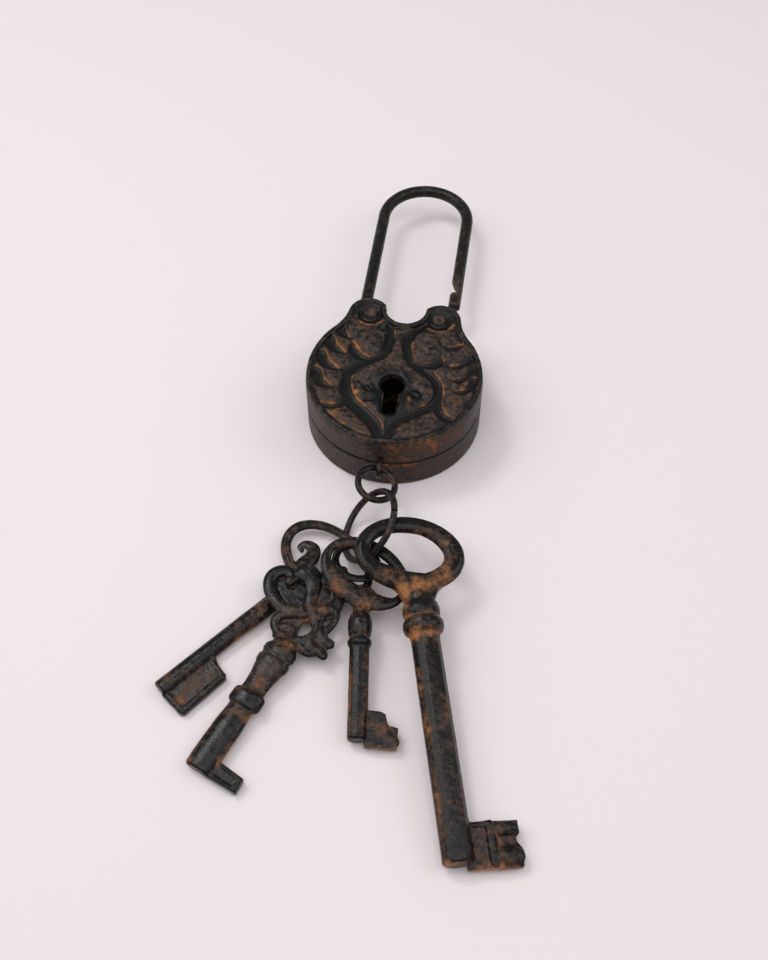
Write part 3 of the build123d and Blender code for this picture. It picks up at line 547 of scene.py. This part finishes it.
def face_weather_and_painted_light(piece):
    """Dust and rust of the front: rubbed cushions, black channels, rusty lower lips and painted shade along
    the creases.
    """
    x, y, z = coordinates(piece.data).T / mm
    outward = facing(piece.data)
    inset = outline_depth(x, y)
    on_face = eased(z, face_base, face_full) * eased(outward[:, 2], -0.1, 0.25) * eased(inset, 0.1, 0.6)
    edge = channel_edge(x, y)
    collar = 1 - eased(keyhole_edge(x, y), 0.8, 4.4)
    on_rim = 1 - eased(inset, rim_width, rim_width + 0.5)
    cushion = eased(edge, -0.2, 1.2)
    dust_and_painted_light = -0.26 + 0.81 * cushion - 0.6 * collar + 0.5 * on_rim
    # Painted shade: the creases beside the domed cushions are darkened to draw shade along their edges.
    dust_and_painted_light = dust_and_painted_light - 0.45 * creased(x, y)
    lower_left = eased(outward @ np.array([-0.5, -0.86, 0.0]), 0.06, 0.44)
    lip = np.exp(-((np.maximum(edge, 0) / 1.1) ** 2)) * eased(edge, -0.4, 0.1)
    dimple = np.minimum(*[stroke_edge(x, y, *stroke) for stroke in dimples])
    rust = lip * (0.1 + 0.66 * lower_left) * eased(dimple, 0.6, 1.8)
    rust = rust + patched(x, y, face_patches) * cushion
    for bx, by in boss_places:
        away = np.hypot(x - bx, y - by)
        below = eased(by - y + 0.35 * (x - bx), 0.6, 4.0)
        beside_ring = 1 - eased(away, boss_lip + 0.6, boss_lip + 1.6)
        rust = rust * eased(away, boss_ring - 0.4, boss_ring + 0.2) * (1 - beside_ring * (1 - below))
        rust = rust + 0.7 * below * np.exp(-(((away - boss_lip) / 0.8) ** 2))
    rust = rust * (1 - eased(collar, 0.5, 1.0)) * (1 - on_rim) - 0.4 * (1 - eased(edge, -1.0, -0.4))
    wall_dust_and_painted_light, wall_rust = wall_weather_and_painted_light(piece)
    return on_face * dust_and_painted_light + (1 - on_face) * wall_dust_and_painted_light, on_face * rust + (1 - on_face) * wall_rust


weather(front_case, *face_weather_and_painted_light(front_case))
front_case.data.materials.append(case_lacquer)
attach(front_case, "case")
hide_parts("front_case")

# Lug rivets and base screw: turned iron, passed through both castings. The rivets are closed to low
# domed heads and the screw lies flush. They were lacquered with the case, and handling has rubbed
# their heads brown.
fastener_lacquer = aged_lacquer("fastener_lacquer", gloss=0.44)
rivet_head_radius = 2.5
rivet_head_rise = 0.9
rivet_grain = 0.16 * mm
rivet_softening = 5
rivet_lump_size = 1.2 * mm
rivet_lump_depth = 0.06 * mm
for node in ("lug_rivet_left", "lug_rivet_right", "base_screw"):
    rivet_form = cad_copy(node)
    if node != "base_screw":
        low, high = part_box(node)
        seat = Matrix.Translation((*((low + high) / 2).xy, high.z - rivet_head_rise * mm))
        swell = Matrix.Diagonal((rivet_head_radius * mm, rivet_head_radius * mm, rivet_head_rise * mm, 1.0))
        bmesh.ops.create_icosphere(rivet_form, subdivisions=3, radius=1.0, matrix=seat @ swell)
    rivet = cast(node + "_head", rivet_form, rivet_grain, rivet_softening, rivet_lump_size, rivet_lump_depth)
    weather(rivet, 0.85, 0.12)
    rivet.data.materials.append(fastener_lacquer)
    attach(rivet, "case")
    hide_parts(node)

# Shackle: 3/16 inch iron rod bent hot, its heel turned down to a spigot and its free leg filed
# for the catch. The lacquer is whole on the rod, and only the filed places have rusted.
rod_grain = 0.24 * mm
rod_softening = 4
rod_lump_size = 4.0 * mm
rod_lump_depth = 0.06 * mm
shackle = cast("shackle_rod", cad_copy("shackle"), rod_grain, rod_softening, rod_lump_size, rod_lump_depth)
rod_x, rod_y = coordinates(shackle.data)[:, :2].T / mm
free_end = rod_y[rod_x > 0].min()
filed = eased(rod_x, 5, 12) * (1 - eased(rod_y, free_end + 8, free_end + 20))
weather(shackle, 0.12 + 0.3 * filed, 0.02 + 0.22 * filed)
shackle.data.materials.append(aged_lacquer("shackle_lacquer", gloss=0.34, pitting=0.04 * mm))
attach(shackle, "shackle")
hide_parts("shackle")

# Staple and rings: iron wire bent round a former. The staple is clenched through the rim, and the
# rings' ends are butted. All three are black from the forge and rubbed where they hang.
wire_grain = 0.17 * mm
wire_softening = 3
wire_lump_size = 1.6 * mm
wire_lump_depth = 0.06 * mm
wire_lacquer = aged_lacquer("wire_lacquer", gloss=0.32, pitting=0.05 * mm)
for node, body in (("key_staple", "case"), ("link_ring", "link"), ("key_ring", "ring")):
    wire = cast(node + "_wire", cad_copy(node), wire_grain, wire_softening, wire_lump_size, wire_lump_depth)
    weather(wire, 0.3, 0.06)
    wire.data.materials.append(wire_lacquer)
    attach(wire, body)
    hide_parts(node)

# Big key: cast in one piece, a rounded shaft with two collars under a heavy oval bow, and a bit
# with a panel and two lobes. It is lacquered black, and orange rust sits in its grooves, round
# its neck, inside the bow and along the shaft's left edge.
key_grain = 0.3 * mm
key_softening = 3
key_lump_size = 2.4 * mm
key_lump_depth = 0.12 * mm


def key_frame(tip, heading, pitch, roll):
    """Turns a key's own millimetres, x across, y towards the bow and z up, into its lying place."""
    along = Vector((cos(heading) * cos(pitch), sin(heading) * cos(pitch), sin(pitch)))
    level = along.cross(Vector((0, 0, 1))).normalized()
    across = level * cos(roll) + level.cross(along) * sin(roll)
    turn = Matrix((across, along, across.cross(along))).transposed().to_4x4()
    return Matrix.Translation(Vector(tip) * mm) @ turn @ Matrix.Scale(mm, 4)


def turned(form, profile, flatten=1.0, shift=(0.0, 0.0), sides=28):
    """A form about the key's axis, from its radius at each length, with a side up and pressed flatter."""
    before = set(form.verts)
    corners = [form.verts.new((radius, length, 0.0)) for radius, length in profile]
    edges = [form.edges.new(pair) for pair in zip(corners[:-1], corners[1:])]
    axis = {"cent": (0, 0, 0), "axis": (0, 1, 0), "dvec": (0, 0, 0), "angle": 2 * pi}
    bmesh.ops.spin(form, geom=corners + edges, steps=sides, use_merge=True, **axis)
    bmesh.ops.remove_doubles(form, verts=list(set(form.verts) - before), dist=0.001)
    made = list(set(form.verts) - before)
    bmesh.ops.rotate(form, cent=(0, 0, 0), matrix=Matrix.Rotation(pi / sides, 3, "Y"), verts=made)
    bmesh.ops.scale(form, vec=(1, 1, flatten), verts=made)
    bmesh.ops.translate(form, vec=(shift[0], 0, shift[1]), verts=made)
    bmesh.ops.recalc_face_normals(form, faces=list({face for vertex in made for face in vertex.link_faces}))


def plate(form, outline, low, high):
    """A flat form between two heights."""
    bottom = form.faces.new([form.verts.new((x, y, low)) for x, y in outline])
    sides = bmesh.ops.extrude_face_region(form, geom=[bottom])["geom"]
    rim = [element for element in sides if isinstance(element, bmesh.types.BMVert)]
    bmesh.ops.translate(form, vec=(0, 0, high - low), verts=rim)
    made = {face for vertex in rim for face in vertex.link_faces} | {bottom}
    bmesh.ops.recalc_face_normals(form, faces=list(made))


def bar(form, points, widths, flatten=1.0, lift=0.0, closed=False, smooth=True):
    """A round-ended bar bent along a line in the key's plane, pressed flatter and lifted if asked."""
    line = course(points) if smooth else np.array(points, float)
    halves = np.interp(np.linspace(0, 1, len(line)), np.linspace(0, 1, len(widths)), widths) / 2
    if not closed:
        first_way = (line[0] - line[1]) / np.linalg.norm(line[0] - line[1])
        last_way = (line[-1] - line[-2]) / np.linalg.norm(line[-1] - line[-2])
        angles = (0.5, 1.0, 1.4)
        starts = [line[0] + first_way * halves[0] * sin(angle) for angle in reversed(angles)]
        ends = [line[-1] + last_way * halves[-1] * sin(angle) for angle in angles]
        start_halves = [halves[0] * cos(angle) for angle in reversed(angles)]
        end_halves = [halves[-1] * cos(angle) for angle in angles]
        line = np.vstack([starts, line, ends])
        halves = np.concatenate([start_halves, halves, end_halves])
    wire = bpy.data.curves.new("bar", "CURVE")
    wire.dimensions = "3D"
    wire.bevel_depth = 1.0
    wire.bevel_resolution = 3
    wire.use_fill_caps = True
    spline = wire.splines.new("POLY")
    spline.points.add(len(line) - 1)
    spline.use_cyclic_u = closed
    for point, place, half in zip(spline.points, line, halves):
        point.co = (place[0], place[1], 0.0, 1.0)
        point.radius = half
    holder = bpy.data.objects.new("bar", wire)
    bent = bpy.data.meshes.new_from_object(holder)
    bent.transform(Matrix.Translation((0, 0, lift)) @ Matrix.Diagonal((1, 1, flatten, 1)))
    form.from_mesh(bent)
    bpy.data.objects.remove(holder)


def oval(centre, radii, turn, count=48):
    """Points round an ellipse, from its right end upwards."""
    angles = [2 * pi * i / count for i in range(count)]
    return [
        (
            centre[0] + radii[0] * cos(a) * cos(turn) - radii[1] * sin(a) * sin(turn),
            centre[1] + radii[0] * cos(a) * sin(turn) + radii[1] * sin(a) * cos(turn),
        )
        for a in angles
    ]


def finish_key(node, body, form, place, dust_and_painted_light, brown_and_shade, patches, softening=key_softening, gloss=0.15):
    """Casts a key's forms in its lying place, ages it and sets it on its body. Painted shade given with the
    brown patches goes onto the dust amount as well.
    """
    form.transform(place)
    key = cast(node + "_casting", form, key_grain, softening, key_lump_size, key_lump_depth)
    home = np.array(place.inverted())
    across, along = (coordinates(key.data) @ home[:3, :3].T + home[:3, 3]).T[:2]
    upward = facing(key.data)[:, 2]
    hollow = hollows(key)
    dust_and_painted_light = dust_and_painted_light + 0.7 * eased(hollow, 0.0, 0.25) - 0.4 * eased(-hollow, 0.02, 0.2)
    dust_and_painted_light = dust_and_painted_light + patched(across, along, brown_and_shade)
    rust = 0.5 * eased(hollow, 0.03, 0.3) + 0.26 * (1 - eased(upward, -0.1, 0.5))
    weather(key, dust_and_painted_light, rust + patched(across, along, patches))
    key.data.materials.append(aged_lacquer(node + "_lacquer", gloss, mottle=0.62))
    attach(key, body)
    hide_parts(node)


big_key = bmesh.new()
big_bow_centre = (-1.0, 104.7)
big_bow_turn = radians(-16)
big_bow = oval(big_bow_centre, (16.1, 10.8), big_bow_turn)
bar(big_key, big_bow, (5.6, 6.4, 5.6, 7.4, 5.6), 0.72, closed=True, smooth=False)
big_bow_inside = oval(big_bow_centre, (14.5, 9.2), big_bow_turn)
bar(big_key, big_bow_inside[38:] + big_bow_inside[:11], (3.4, 5.4, 6.0, 5.4, 3.4), 0.72, smooth=False)
bar(big_key, big_bow_inside[29:40], (3.4, 5.6, 5.6, 4.6), 0.72, smooth=False)
big_neck = [(-5.0, 86.6), (5.0, 86.6), (6.6, 90.0), (10.0, 93.4), (-10.4, 95.8), (-6.6, 91.0)]
plate(big_key, big_neck, -2.5, 2.5)
big_shaft = [(0, 0.1), (4.5, 0.1), (5.1, 0.9), (5.1, 40), (5.0, 73.4), (0, 74.4)]
turned(big_key, big_shaft, flatten=0.88, sides=12)
big_collars = [
    (0, 72.6), (4.9, 73.0), (5.3, 74.6), (6.5, 75.6), (7.0, 77.2), (6.9, 79.0), (6.1, 80.2), (5.8, 80.7),
    (6.3, 81.6), (6.4, 83.4), (6.0, 85.2), (5.3, 86.2), (5.2, 88.4), (4.4, 92.0), (0, 93.0),
]
turned(big_key, big_collars, flatten=0.86)
plate(big_key, [(2.5, 12.4), (2.5, -1.8), (12.3, -2.2), (12.3, 12.2)], -2.2, 0.7)
bar(big_key, [(5.2, 11.4), (10.6, 11.4)], (2.2, 2.2), 0.8, lift=0.4)
bar(big_key, [(10.9, 11.0), (10.8, 5.0), (10.9, -0.8)], (3.2, 2.9, 3.2), 0.8, lift=0.7)
big_lobes = [
    (12.0, -2.4), (19.6, -2.6), (20.4, 2.4), (18.6, 5.2), (18.6, 6.6),
    (19.8, 7.6), (19.8, 11.6), (12.0, 12.2),
]
plate(big_key, big_lobes, -2.4, 0.7)
bar(big_key, [(14.4, 9.4), (17.4, 9.4)], (4.8, 4.6), 0.6, lift=0.6)
bar(big_key, [(14.8, 1.2), (17.4, 0.8)], (6.4, 6.2), 0.5, lift=0.5)
big_patches = [
    (0, 91.5, 9, 4.2, 0.75), (0, 80.6, 9, 1.0, 0.6), (0, 73.8, 9, 2.2, 0.7), (-5.5, 84, 2.5, 9, 0.5),
    (10.5, 98.5, 4.0, 6.5, 0.62), (-9.0, 97.0, 5.0, 2.6, 0.45), (3.0, 112.0, 9, 2.0, 0.42),
    (11, 107, 3, 4, 0.35),
    (-3.9, 14, 1.1, 18, 0.62), (-3.9, 52, 1.1, 18, 0.5), (3.4, 48, 1.8, 7, 0.4), (3.6, 66, 1.6, 6, 0.34),
    (3.2, 20, 1.4, 8, 0.3), (8.0, 5.0, 3.0, 6.5, 0.5), (13.4, 4.5, 1.6, 7, 0.46), (8, -2.6, 13, 1.6, 0.55),
    (17.0, 5.0, 2.6, 1.6, 0.45), (-3.0, 0, 3, 1.6, 0.35), (0, 30, 2.4, 14, 0.12),
]
big_place = key_frame((43.4, -171.02, 4.2), heading=radians(105.2), pitch=radians(6.1), roll=radians(-2.0))
big_brown = [(8, 4, 5, 8, 0.3), (1.5, 46, 3, 16, 0.22), (0, 92, 9, 5, 0.2)]
finish_key("big_key", "big", big_key, big_place, 0.14, big_brown, big_patches, softening=6)

# Small key: the working key of the lock, cast like the big one, with an acorn and a collar on its
# rounded shaft, a slanting oval bow with a heavy lower band and a stepped bit.
small_key = bmesh.new()
small_bow_centre = (1.2, 58.2)
small_bow_turn = radians(-36)
small_bow = oval(small_bow_centre, (15.0, 9.8), small_bow_turn)
bar(small_key, small_bow, (3.2, 4.6, 3.2, 5.4, 3.2), 0.62, closed=True, smooth=False)
small_bow_inside = oval(small_bow_centre, (13.4, 8.0), small_bow_turn)
bar(small_key, small_bow_inside[27:47], (0.8, 5.0, 6.4, 6.4, 5.4, 1.0), 0.56, smooth=False)
small_shaft = [(0, -0.2), (3.0, -0.2), (3.5, 0.6), (3.5, 31.0), (0, 32.0)]
turned(small_key, small_shaft, flatten=0.92, sides=10)
small_acorn = [
    (0, 30.6), (3.3, 31.2), (4.0, 32.0), (4.2, 33.2), (3.7, 34.0), (3.4, 34.6), (3.9, 35.8), (4.2, 38.2),
    (4.1, 40.6), (3.5, 42.4), (2.7, 43.4), (2.4, 45.4), (0, 46.6),
]
turned(small_key, small_acorn, flatten=0.96)
bar(small_key, [(0.3, 42.0), (0.5, 45.4), (0.4, 48.6)], (4.8, 6.4, 11.0), 0.36)
small_bit = [(2.0, 9.8), (2.0, -2.2), (12.6, -3.0), (13.1, 4.0), (9.8, 4.9), (9.0, 8.6), (7.2, 9.5)]
plate(small_key, small_bit, -1.9, 1.2)
bar(small_key, [(9.6, 1.6), (11.6, -0.6)], (4.0, 4.2), 0.4, lift=0.6)
small_patches = [
    (8, 3, 6, 6, 0.46), (-2.8, 14, 1.0, 14, 0.6), (2.4, 18, 1.2, 12, 0.4), (0, 34.4, 6, 0.8, 0.25),
    (0, 46.5, 7, 3.5, 0.55), (-8, 54, 4, 7, 0.42), (6, -2.6, 10, 1.4, 0.55), (-5, 66, 6, 4, 0.5),
    (2.4, 36, 2, 3, 0.25),
    (10, 50, 5, 4, 0.35),
]
small_place = key_frame((7.0, -135.22, 3.4), heading=radians(97.3), pitch=radians(7.3), roll=0.0)
small_brown = [(8, 3, 5, 6, 0.3), (0, 50, 12, 6, 0.25), (-9, 58, 5, 8, 0.25)]
finish_key("small_key", "small", small_key, small_place, 0.12, small_brown, small_patches, softening=5)

# Ornate key: a baluster shaft under a pierced bow of heavy scrolls, with one short prong for a bit.
# The bow is one flat casting: rounded scrolls stand up from a thin web, and brown dust fills it. In the left
# eye the plate sits lower and is kept black as painted shade.
ornate_key = bmesh.new()
ornate_profile = [
    (0, -3.0), (4.2, -3.0), (4.9, -2.2), (5.1, 4), (5.0, 14), (4.6, 18.5), (4.4, 21.4), (5.5, 22.0),
    (5.9, 23.0),
    (5.9, 26.2), (5.5, 27.2), (4.4, 27.8), (4.3, 30.0), (4.7, 34.0), (5.4, 37.4), (5.9, 38.4), (6.0, 40.4),
    (5.4, 41.2), (5.4, 41.8), (6.0, 42.6), (6.0, 44.4), (5.5, 45.4), (4.8, 46.2), (4.4, 48.0),
    (3.0, 49.8), (0, 50.6),
]
turned(ornate_key, ornate_profile, flatten=0.49, shift=(-0.6, 0.26))
plate(ornate_key, [(2.0, 3.2), (13.8, 2.2), (14.2, -3.2), (1.0, -3.2)], -1.8, 1.1)
for edge_line in ([(4.6, 2.2), (12.8, 1.4)], [(13.0, 1.2), (13.2, -2.2)], [(4.4, -2.4), (13.0, -2.4)]):
    bar(ornate_key, edge_line, (1.7, 1.7), 0.9, lift=0.7)
web_low = -1.25
web_high = -0.2
eye_high = -0.85
ornate_web = [
    [(-6.5, 47.6), (1.0, 47.6), (0.2, 53.4), (-0.6, 58.6), (-5.0, 59.8), (-9.4, 57.6), (-9.0, 52.0)],
    [(-4.6, 57.4), (4.0, 57.8), (6.4, 62.0), (8.6, 66.0), (7.6, 71.0), (3.6, 76.0),
     (-6.0, 75.0), (-4.2, 66.0)],
    [(0.6, 47.8), (8.4, 47.6), (13.4, 51.4), (10.0, 54.6), (4.4, 57.6), (3.6, 55.0),
     (2.0, 52.8), (0.6, 52.2)],
]
# The left eye's plate sits below the web, and its colour is darkened further as painted shade.
ornate_eye = [
    (-15.6, 63.6), (-10.0, 60.4), (-4.0, 60.0), (-3.6, 67.0), (-7.0, 71.4), (-13.0, 71.0),
    (-16.8, 68.6), (-17.6, 65.6),
]
plate(ornate_key, ornate_eye, web_low, eye_high)
for outline in ornate_web:
    plate(ornate_key, outline, web_low, web_high)
left_volute = [
    (-2.0, 60.4), (-7.9, 58.2), (-12.8, 59.2), (-16.8, 61.8), (-18.9, 65.4), (-18.2, 68.6), (-15.6, 70.4),
    (-12.8, 69.6), (-12.6, 67.6),
]
bar(ornate_key, left_volute, (5.2, 5.0, 4.8, 4.8, 4.6, 4.0, 4.4), 0.54, lift=0.45)
knob_stem = [(-9.4, 73.2), (-6.6, 72.4), (-4.4, 69.4), (-2.8, 65.6), (-1.4, 62.0)]
bar(ornate_key, knob_stem, (8.2, 7.2, 5.6, 4.8, 4.8), 0.4, lift=0.6)
left_curl = [(-4.6, 58.4), (-8.2, 55.4), (-8.0, 51.8), (-4.6, 49.6), (-1.6, 50.8), (-2.4, 53.0), (-4.6, 52.6)]
bar(ornate_key, left_curl, (3.8, 3.6, 3.6, 3.4, 3.2, 3.4), 0.74, lift=0.4)
lower_curl = [(4.6, 59.4), (5.4, 55.6), (4.2, 52.0), (1.0, 50.2), (-1.2, 51.6)]
bar(ornate_key, lower_curl, (3.4, 3.4, 3.6, 3.4, 2.6), 0.74, lift=0.3)
right_band = [(2.4, 60.2), (5.8, 57.4), (9.0, 55.2), (11.8, 54.8)]
bar(ornate_key, right_band, (4.6, 4.4, 4.2, 3.8), 0.6)
right_volute = [(2.6, 63.0), (5.6, 66.0), (8.0, 65.2), (8.8, 62.0), (8.2, 58.4)]
bar(ornate_key, right_volute, (4.8, 3.6, 2.6, 2.6, 3.0), 0.68)
bar(ornate_key, [(6.4, 51.4), (9.4, 51.0), (12.2, 50.2)], (5.0, 4.4, 3.4), 0.6)
bar(ornate_key, [(2.0, 50.0), (5.4, 48.8), (7.6, 48.6)], (3.8, 4.0, 3.4), 0.66)
bar(ornate_key, [(-0.6, 62.6), (3.0, 61.2)], (6.0, 5.4), 0.46, lift=0.3)
crown_band = [(2.0, 62.4), (5.4, 66.6), (5.6, 71.0), (2.0, 74.6), (-3.0, 74.6)]
bar(ornate_key, crown_band, (5.0, 4.6, 4.4, 4.6, 5.0), 0.5)
ornate_loop = oval((2.7, 85.9), (7.6, 6.1), 0.0)
bar(ornate_key, ornate_loop, (3.0, 3.0), 0.46, lift=-0.6, closed=True, smooth=False)
bar(ornate_key, [(-1.6, 70.0), (-0.8, 76.0), (0.4, 80.4)], (6.4, 5.4, 4.4), 0.26, lift=-0.6)
ornate_patches = [
    (0, 19.2, 8, 2.6, 0.55), (0, 31, 8, 4.5, 0.5), (0, 47.5, 9, 2.5, 0.4), (-4.8, -2, 2.4, 3, 0.62),
    (-8.5, 64.5, 2.5, 2, 0.25), (2, 56, 6, 5, 0.25), (4.2, 8, 1.0, 12, 0.5), (-5.0, 8, 1.0, 12, 0.45),
    (5, 1, 1.6, 4, 0.36),
    (0, 62, 7, 6, 0.2), (3.0, 64, 2, 2, 0.4),
]
# The last entry takes dust off the left eye's plate: painted shade, so that the eye reads dark.
ornate_brown_and_shade = [(0, 36, 14, 8, 0.42), (0, 55, 18, 7, 0.3), (0, 18, 8, 3, 0.3), (-11, 66, 4, 4, -0.6)]
ornate_place = key_frame((-39.5, -149.52, 2.6), heading=radians(66.7), pitch=radians(3.7), roll=0.0)
finish_key("ornate_key", "ornate", ornate_key, ornate_place, 0.16, ornate_brown_and_shade, ornate_patches)

# Plain key: a flattened shaft with a square bit, panelled on its face, and a wide oval bow with two
# hooked leaves inside. It is the flattest casting of the four, and its panel has rusted most.
plain_key = bmesh.new()
plain_bow_radii = (17.7, 11.3)
plain_bow_centre = (0.0, 72.0)
plain_bow = oval(plain_bow_centre, plain_bow_radii, 0.0)
bar(plain_key, plain_bow, (3.2, 3.2, 4.2, 3.8, 3.2), 0.5, closed=True, smooth=False)
for offset in (-1.2, 0.0, 1.2):
    lip_line = oval(plain_bow_centre, (plain_bow_radii[0] + offset, plain_bow_radii[1] + offset), 0.0)
    bar(plain_key, lip_line, (0.8, 0.8, 1.2, 1.0, 0.8), 0.9, lift=0.62, closed=True, smooth=False)
leaf = [(1.6, 60.6), (4.4, 64.6), (4.6, 69.0), (7.0, 71.8), (10.0, 71.2), (10.8, 69.2), (9.2, 68.4)]
for side in (-1, 1):
    bar(plain_key, [(side * x, y) for x, y in leaf], (4.6, 6.2, 5.6, 4.2, 2.8, 2.0), 0.46)
shaft_profile = [(0, -0.2), (2.8, -0.2), (3.2, 0.5), (3.2, 40), (3.0, 43), (2.4, 47), (0, 49)]
turned(plain_key, shaft_profile, flatten=0.7, shift=(-0.6, 0.05))
turned(plain_key, [(0, 34), (3.4, 35), (3.5, 60), (2.6, 62), (0, 63)], flatten=0.31, shift=(-0.5, 0.0))
plain_bit = [
    (1.0, 21.0), (3.2, 20.6), (5.2, 19.4), (9.8, 19.2), (11.0, 18.2), (11.8, 0.4), (10.8, -0.6), (1.0, -0.8),
]
plate(plain_key, plain_bit, -1.7, 0.5)
panel_edge = [(3.6, 18.8), (9.2, 17.8), (9.8, 17.0), (10.6, 1.2), (9.8, 0.6), (3.2, 0.5)]
bar(plain_key, panel_edge, (2.4, 2.4), 0.62, lift=0.25, smooth=False)
plain_patches = [
    (6.8, 10, 3.0, 8, 0.36), (7.0, 3, 2.6, 2.6, 0.4), (9.0, 16, 2, 2, 0.3), (0, 33, 4, 4, 0.18),
    (3.2, 30, 1.2, 10, 0.4), (-3.6, 2, 1.6, 4, 0.4), (0, 43, 5, 4, 0.42), (-13, 65, 5, 5, 0.4),
    (-8, 78, 6, 4, 0.2), (-6, 62, 4, 3, 0.4),
]
plain_brown = [(7, 10, 4, 11, 0.36), (0, 44, 6, 6, 0.2), (0, 72, 20, 14, 0.16)]
plain_place = key_frame((-59.0, -126.62, 2.3), heading=radians(50.9), pitch=radians(1.4), roll=0.0)
finish_key("plain_key", "plain", plain_key, plain_place, 0.16, plain_brown, plain_patches)

# Floor, lamps and camera: a plain pale table, lit by a broad lamp above, a softer lamp at each side
# and a small bright one that draws the highlights. The camera looks down on it from the front.
table_colour = tint(238, 229, 232)
table_half = 1.5
table_form = bmesh.new()
bmesh.ops.create_grid(table_form, x_segments=1, y_segments=1, size=table_half)
table_mesh = bpy.data.meshes.new("table")
table_form.to_mesh(table_mesh)
table_form.free()
table = bpy.data.objects.new("table", table_mesh)
bpy.context.scene.collection.objects.link(table)
table_paper, table_root = new_finish("table_paper")
paper = {"Base Color": table_colour, "Roughness": 0.9, "Specular IOR Level": 0.1}
surface(table_root, paper, speckle(table_root, 2 * mm), 0.01 * mm)
table.data.materials.append(table_paper)

sky = bpy.data.worlds.new("sky")
sky.use_nodes = True
sky.node_tree.nodes["Background"].inputs["Color"].default_value = (1.0, 1.0, 1.0, 1.0)
sky.node_tree.nodes["Background"].inputs["Strength"].default_value = 0.32
bpy.context.scene.world = sky


def lamp(name, place, target, size, power):
    """A square soft lamp that faces its target."""
    light = bpy.data.lights.new(name, "AREA")
    light.size = size
    light.energy = power
    holder = bpy.data.objects.new(name, light)
    holder.location = place
    holder.rotation_euler = (Vector(target) - Vector(place)).to_track_quat("-Z", "Y").to_euler()
    bpy.context.scene.collection.objects.link(holder)


lamp_target = (0.0, -0.03, 0.0)
lamp("top_lamp", (0.0, -0.35, 1.25), lamp_target, size=1.1, power=6.5)
lamp("left_lamp", (-0.9, -0.05, 0.95), lamp_target, size=0.7, power=3.0)
lamp("right_lamp", (0.95, 0.1, 0.9), lamp_target, size=0.7, power=3.0)
lamp("small_lamp", (-0.42, 0.22, 0.85), lamp_target, size=0.22, power=1.7)

camera_place = Vector((40.3, -306.5, 386.4)) * mm
camera_target = Vector((0.6, -30.7, 0.0)) * mm
lens = bpy.data.cameras.new("camera")
lens.lens = 48.75
lens.sensor_width = 36.0
camera = bpy.data.objects.new("camera", lens)
camera.location = camera_place
camera.rotation_euler = (camera_target - camera_place).to_track_quat("-Z", "Y").to_euler()
bpy.context.scene.collection.objects.link(camera)
bpy.context.scene.camera = camera
bpy.context.scene.view_settings.view_transform = "Standard"
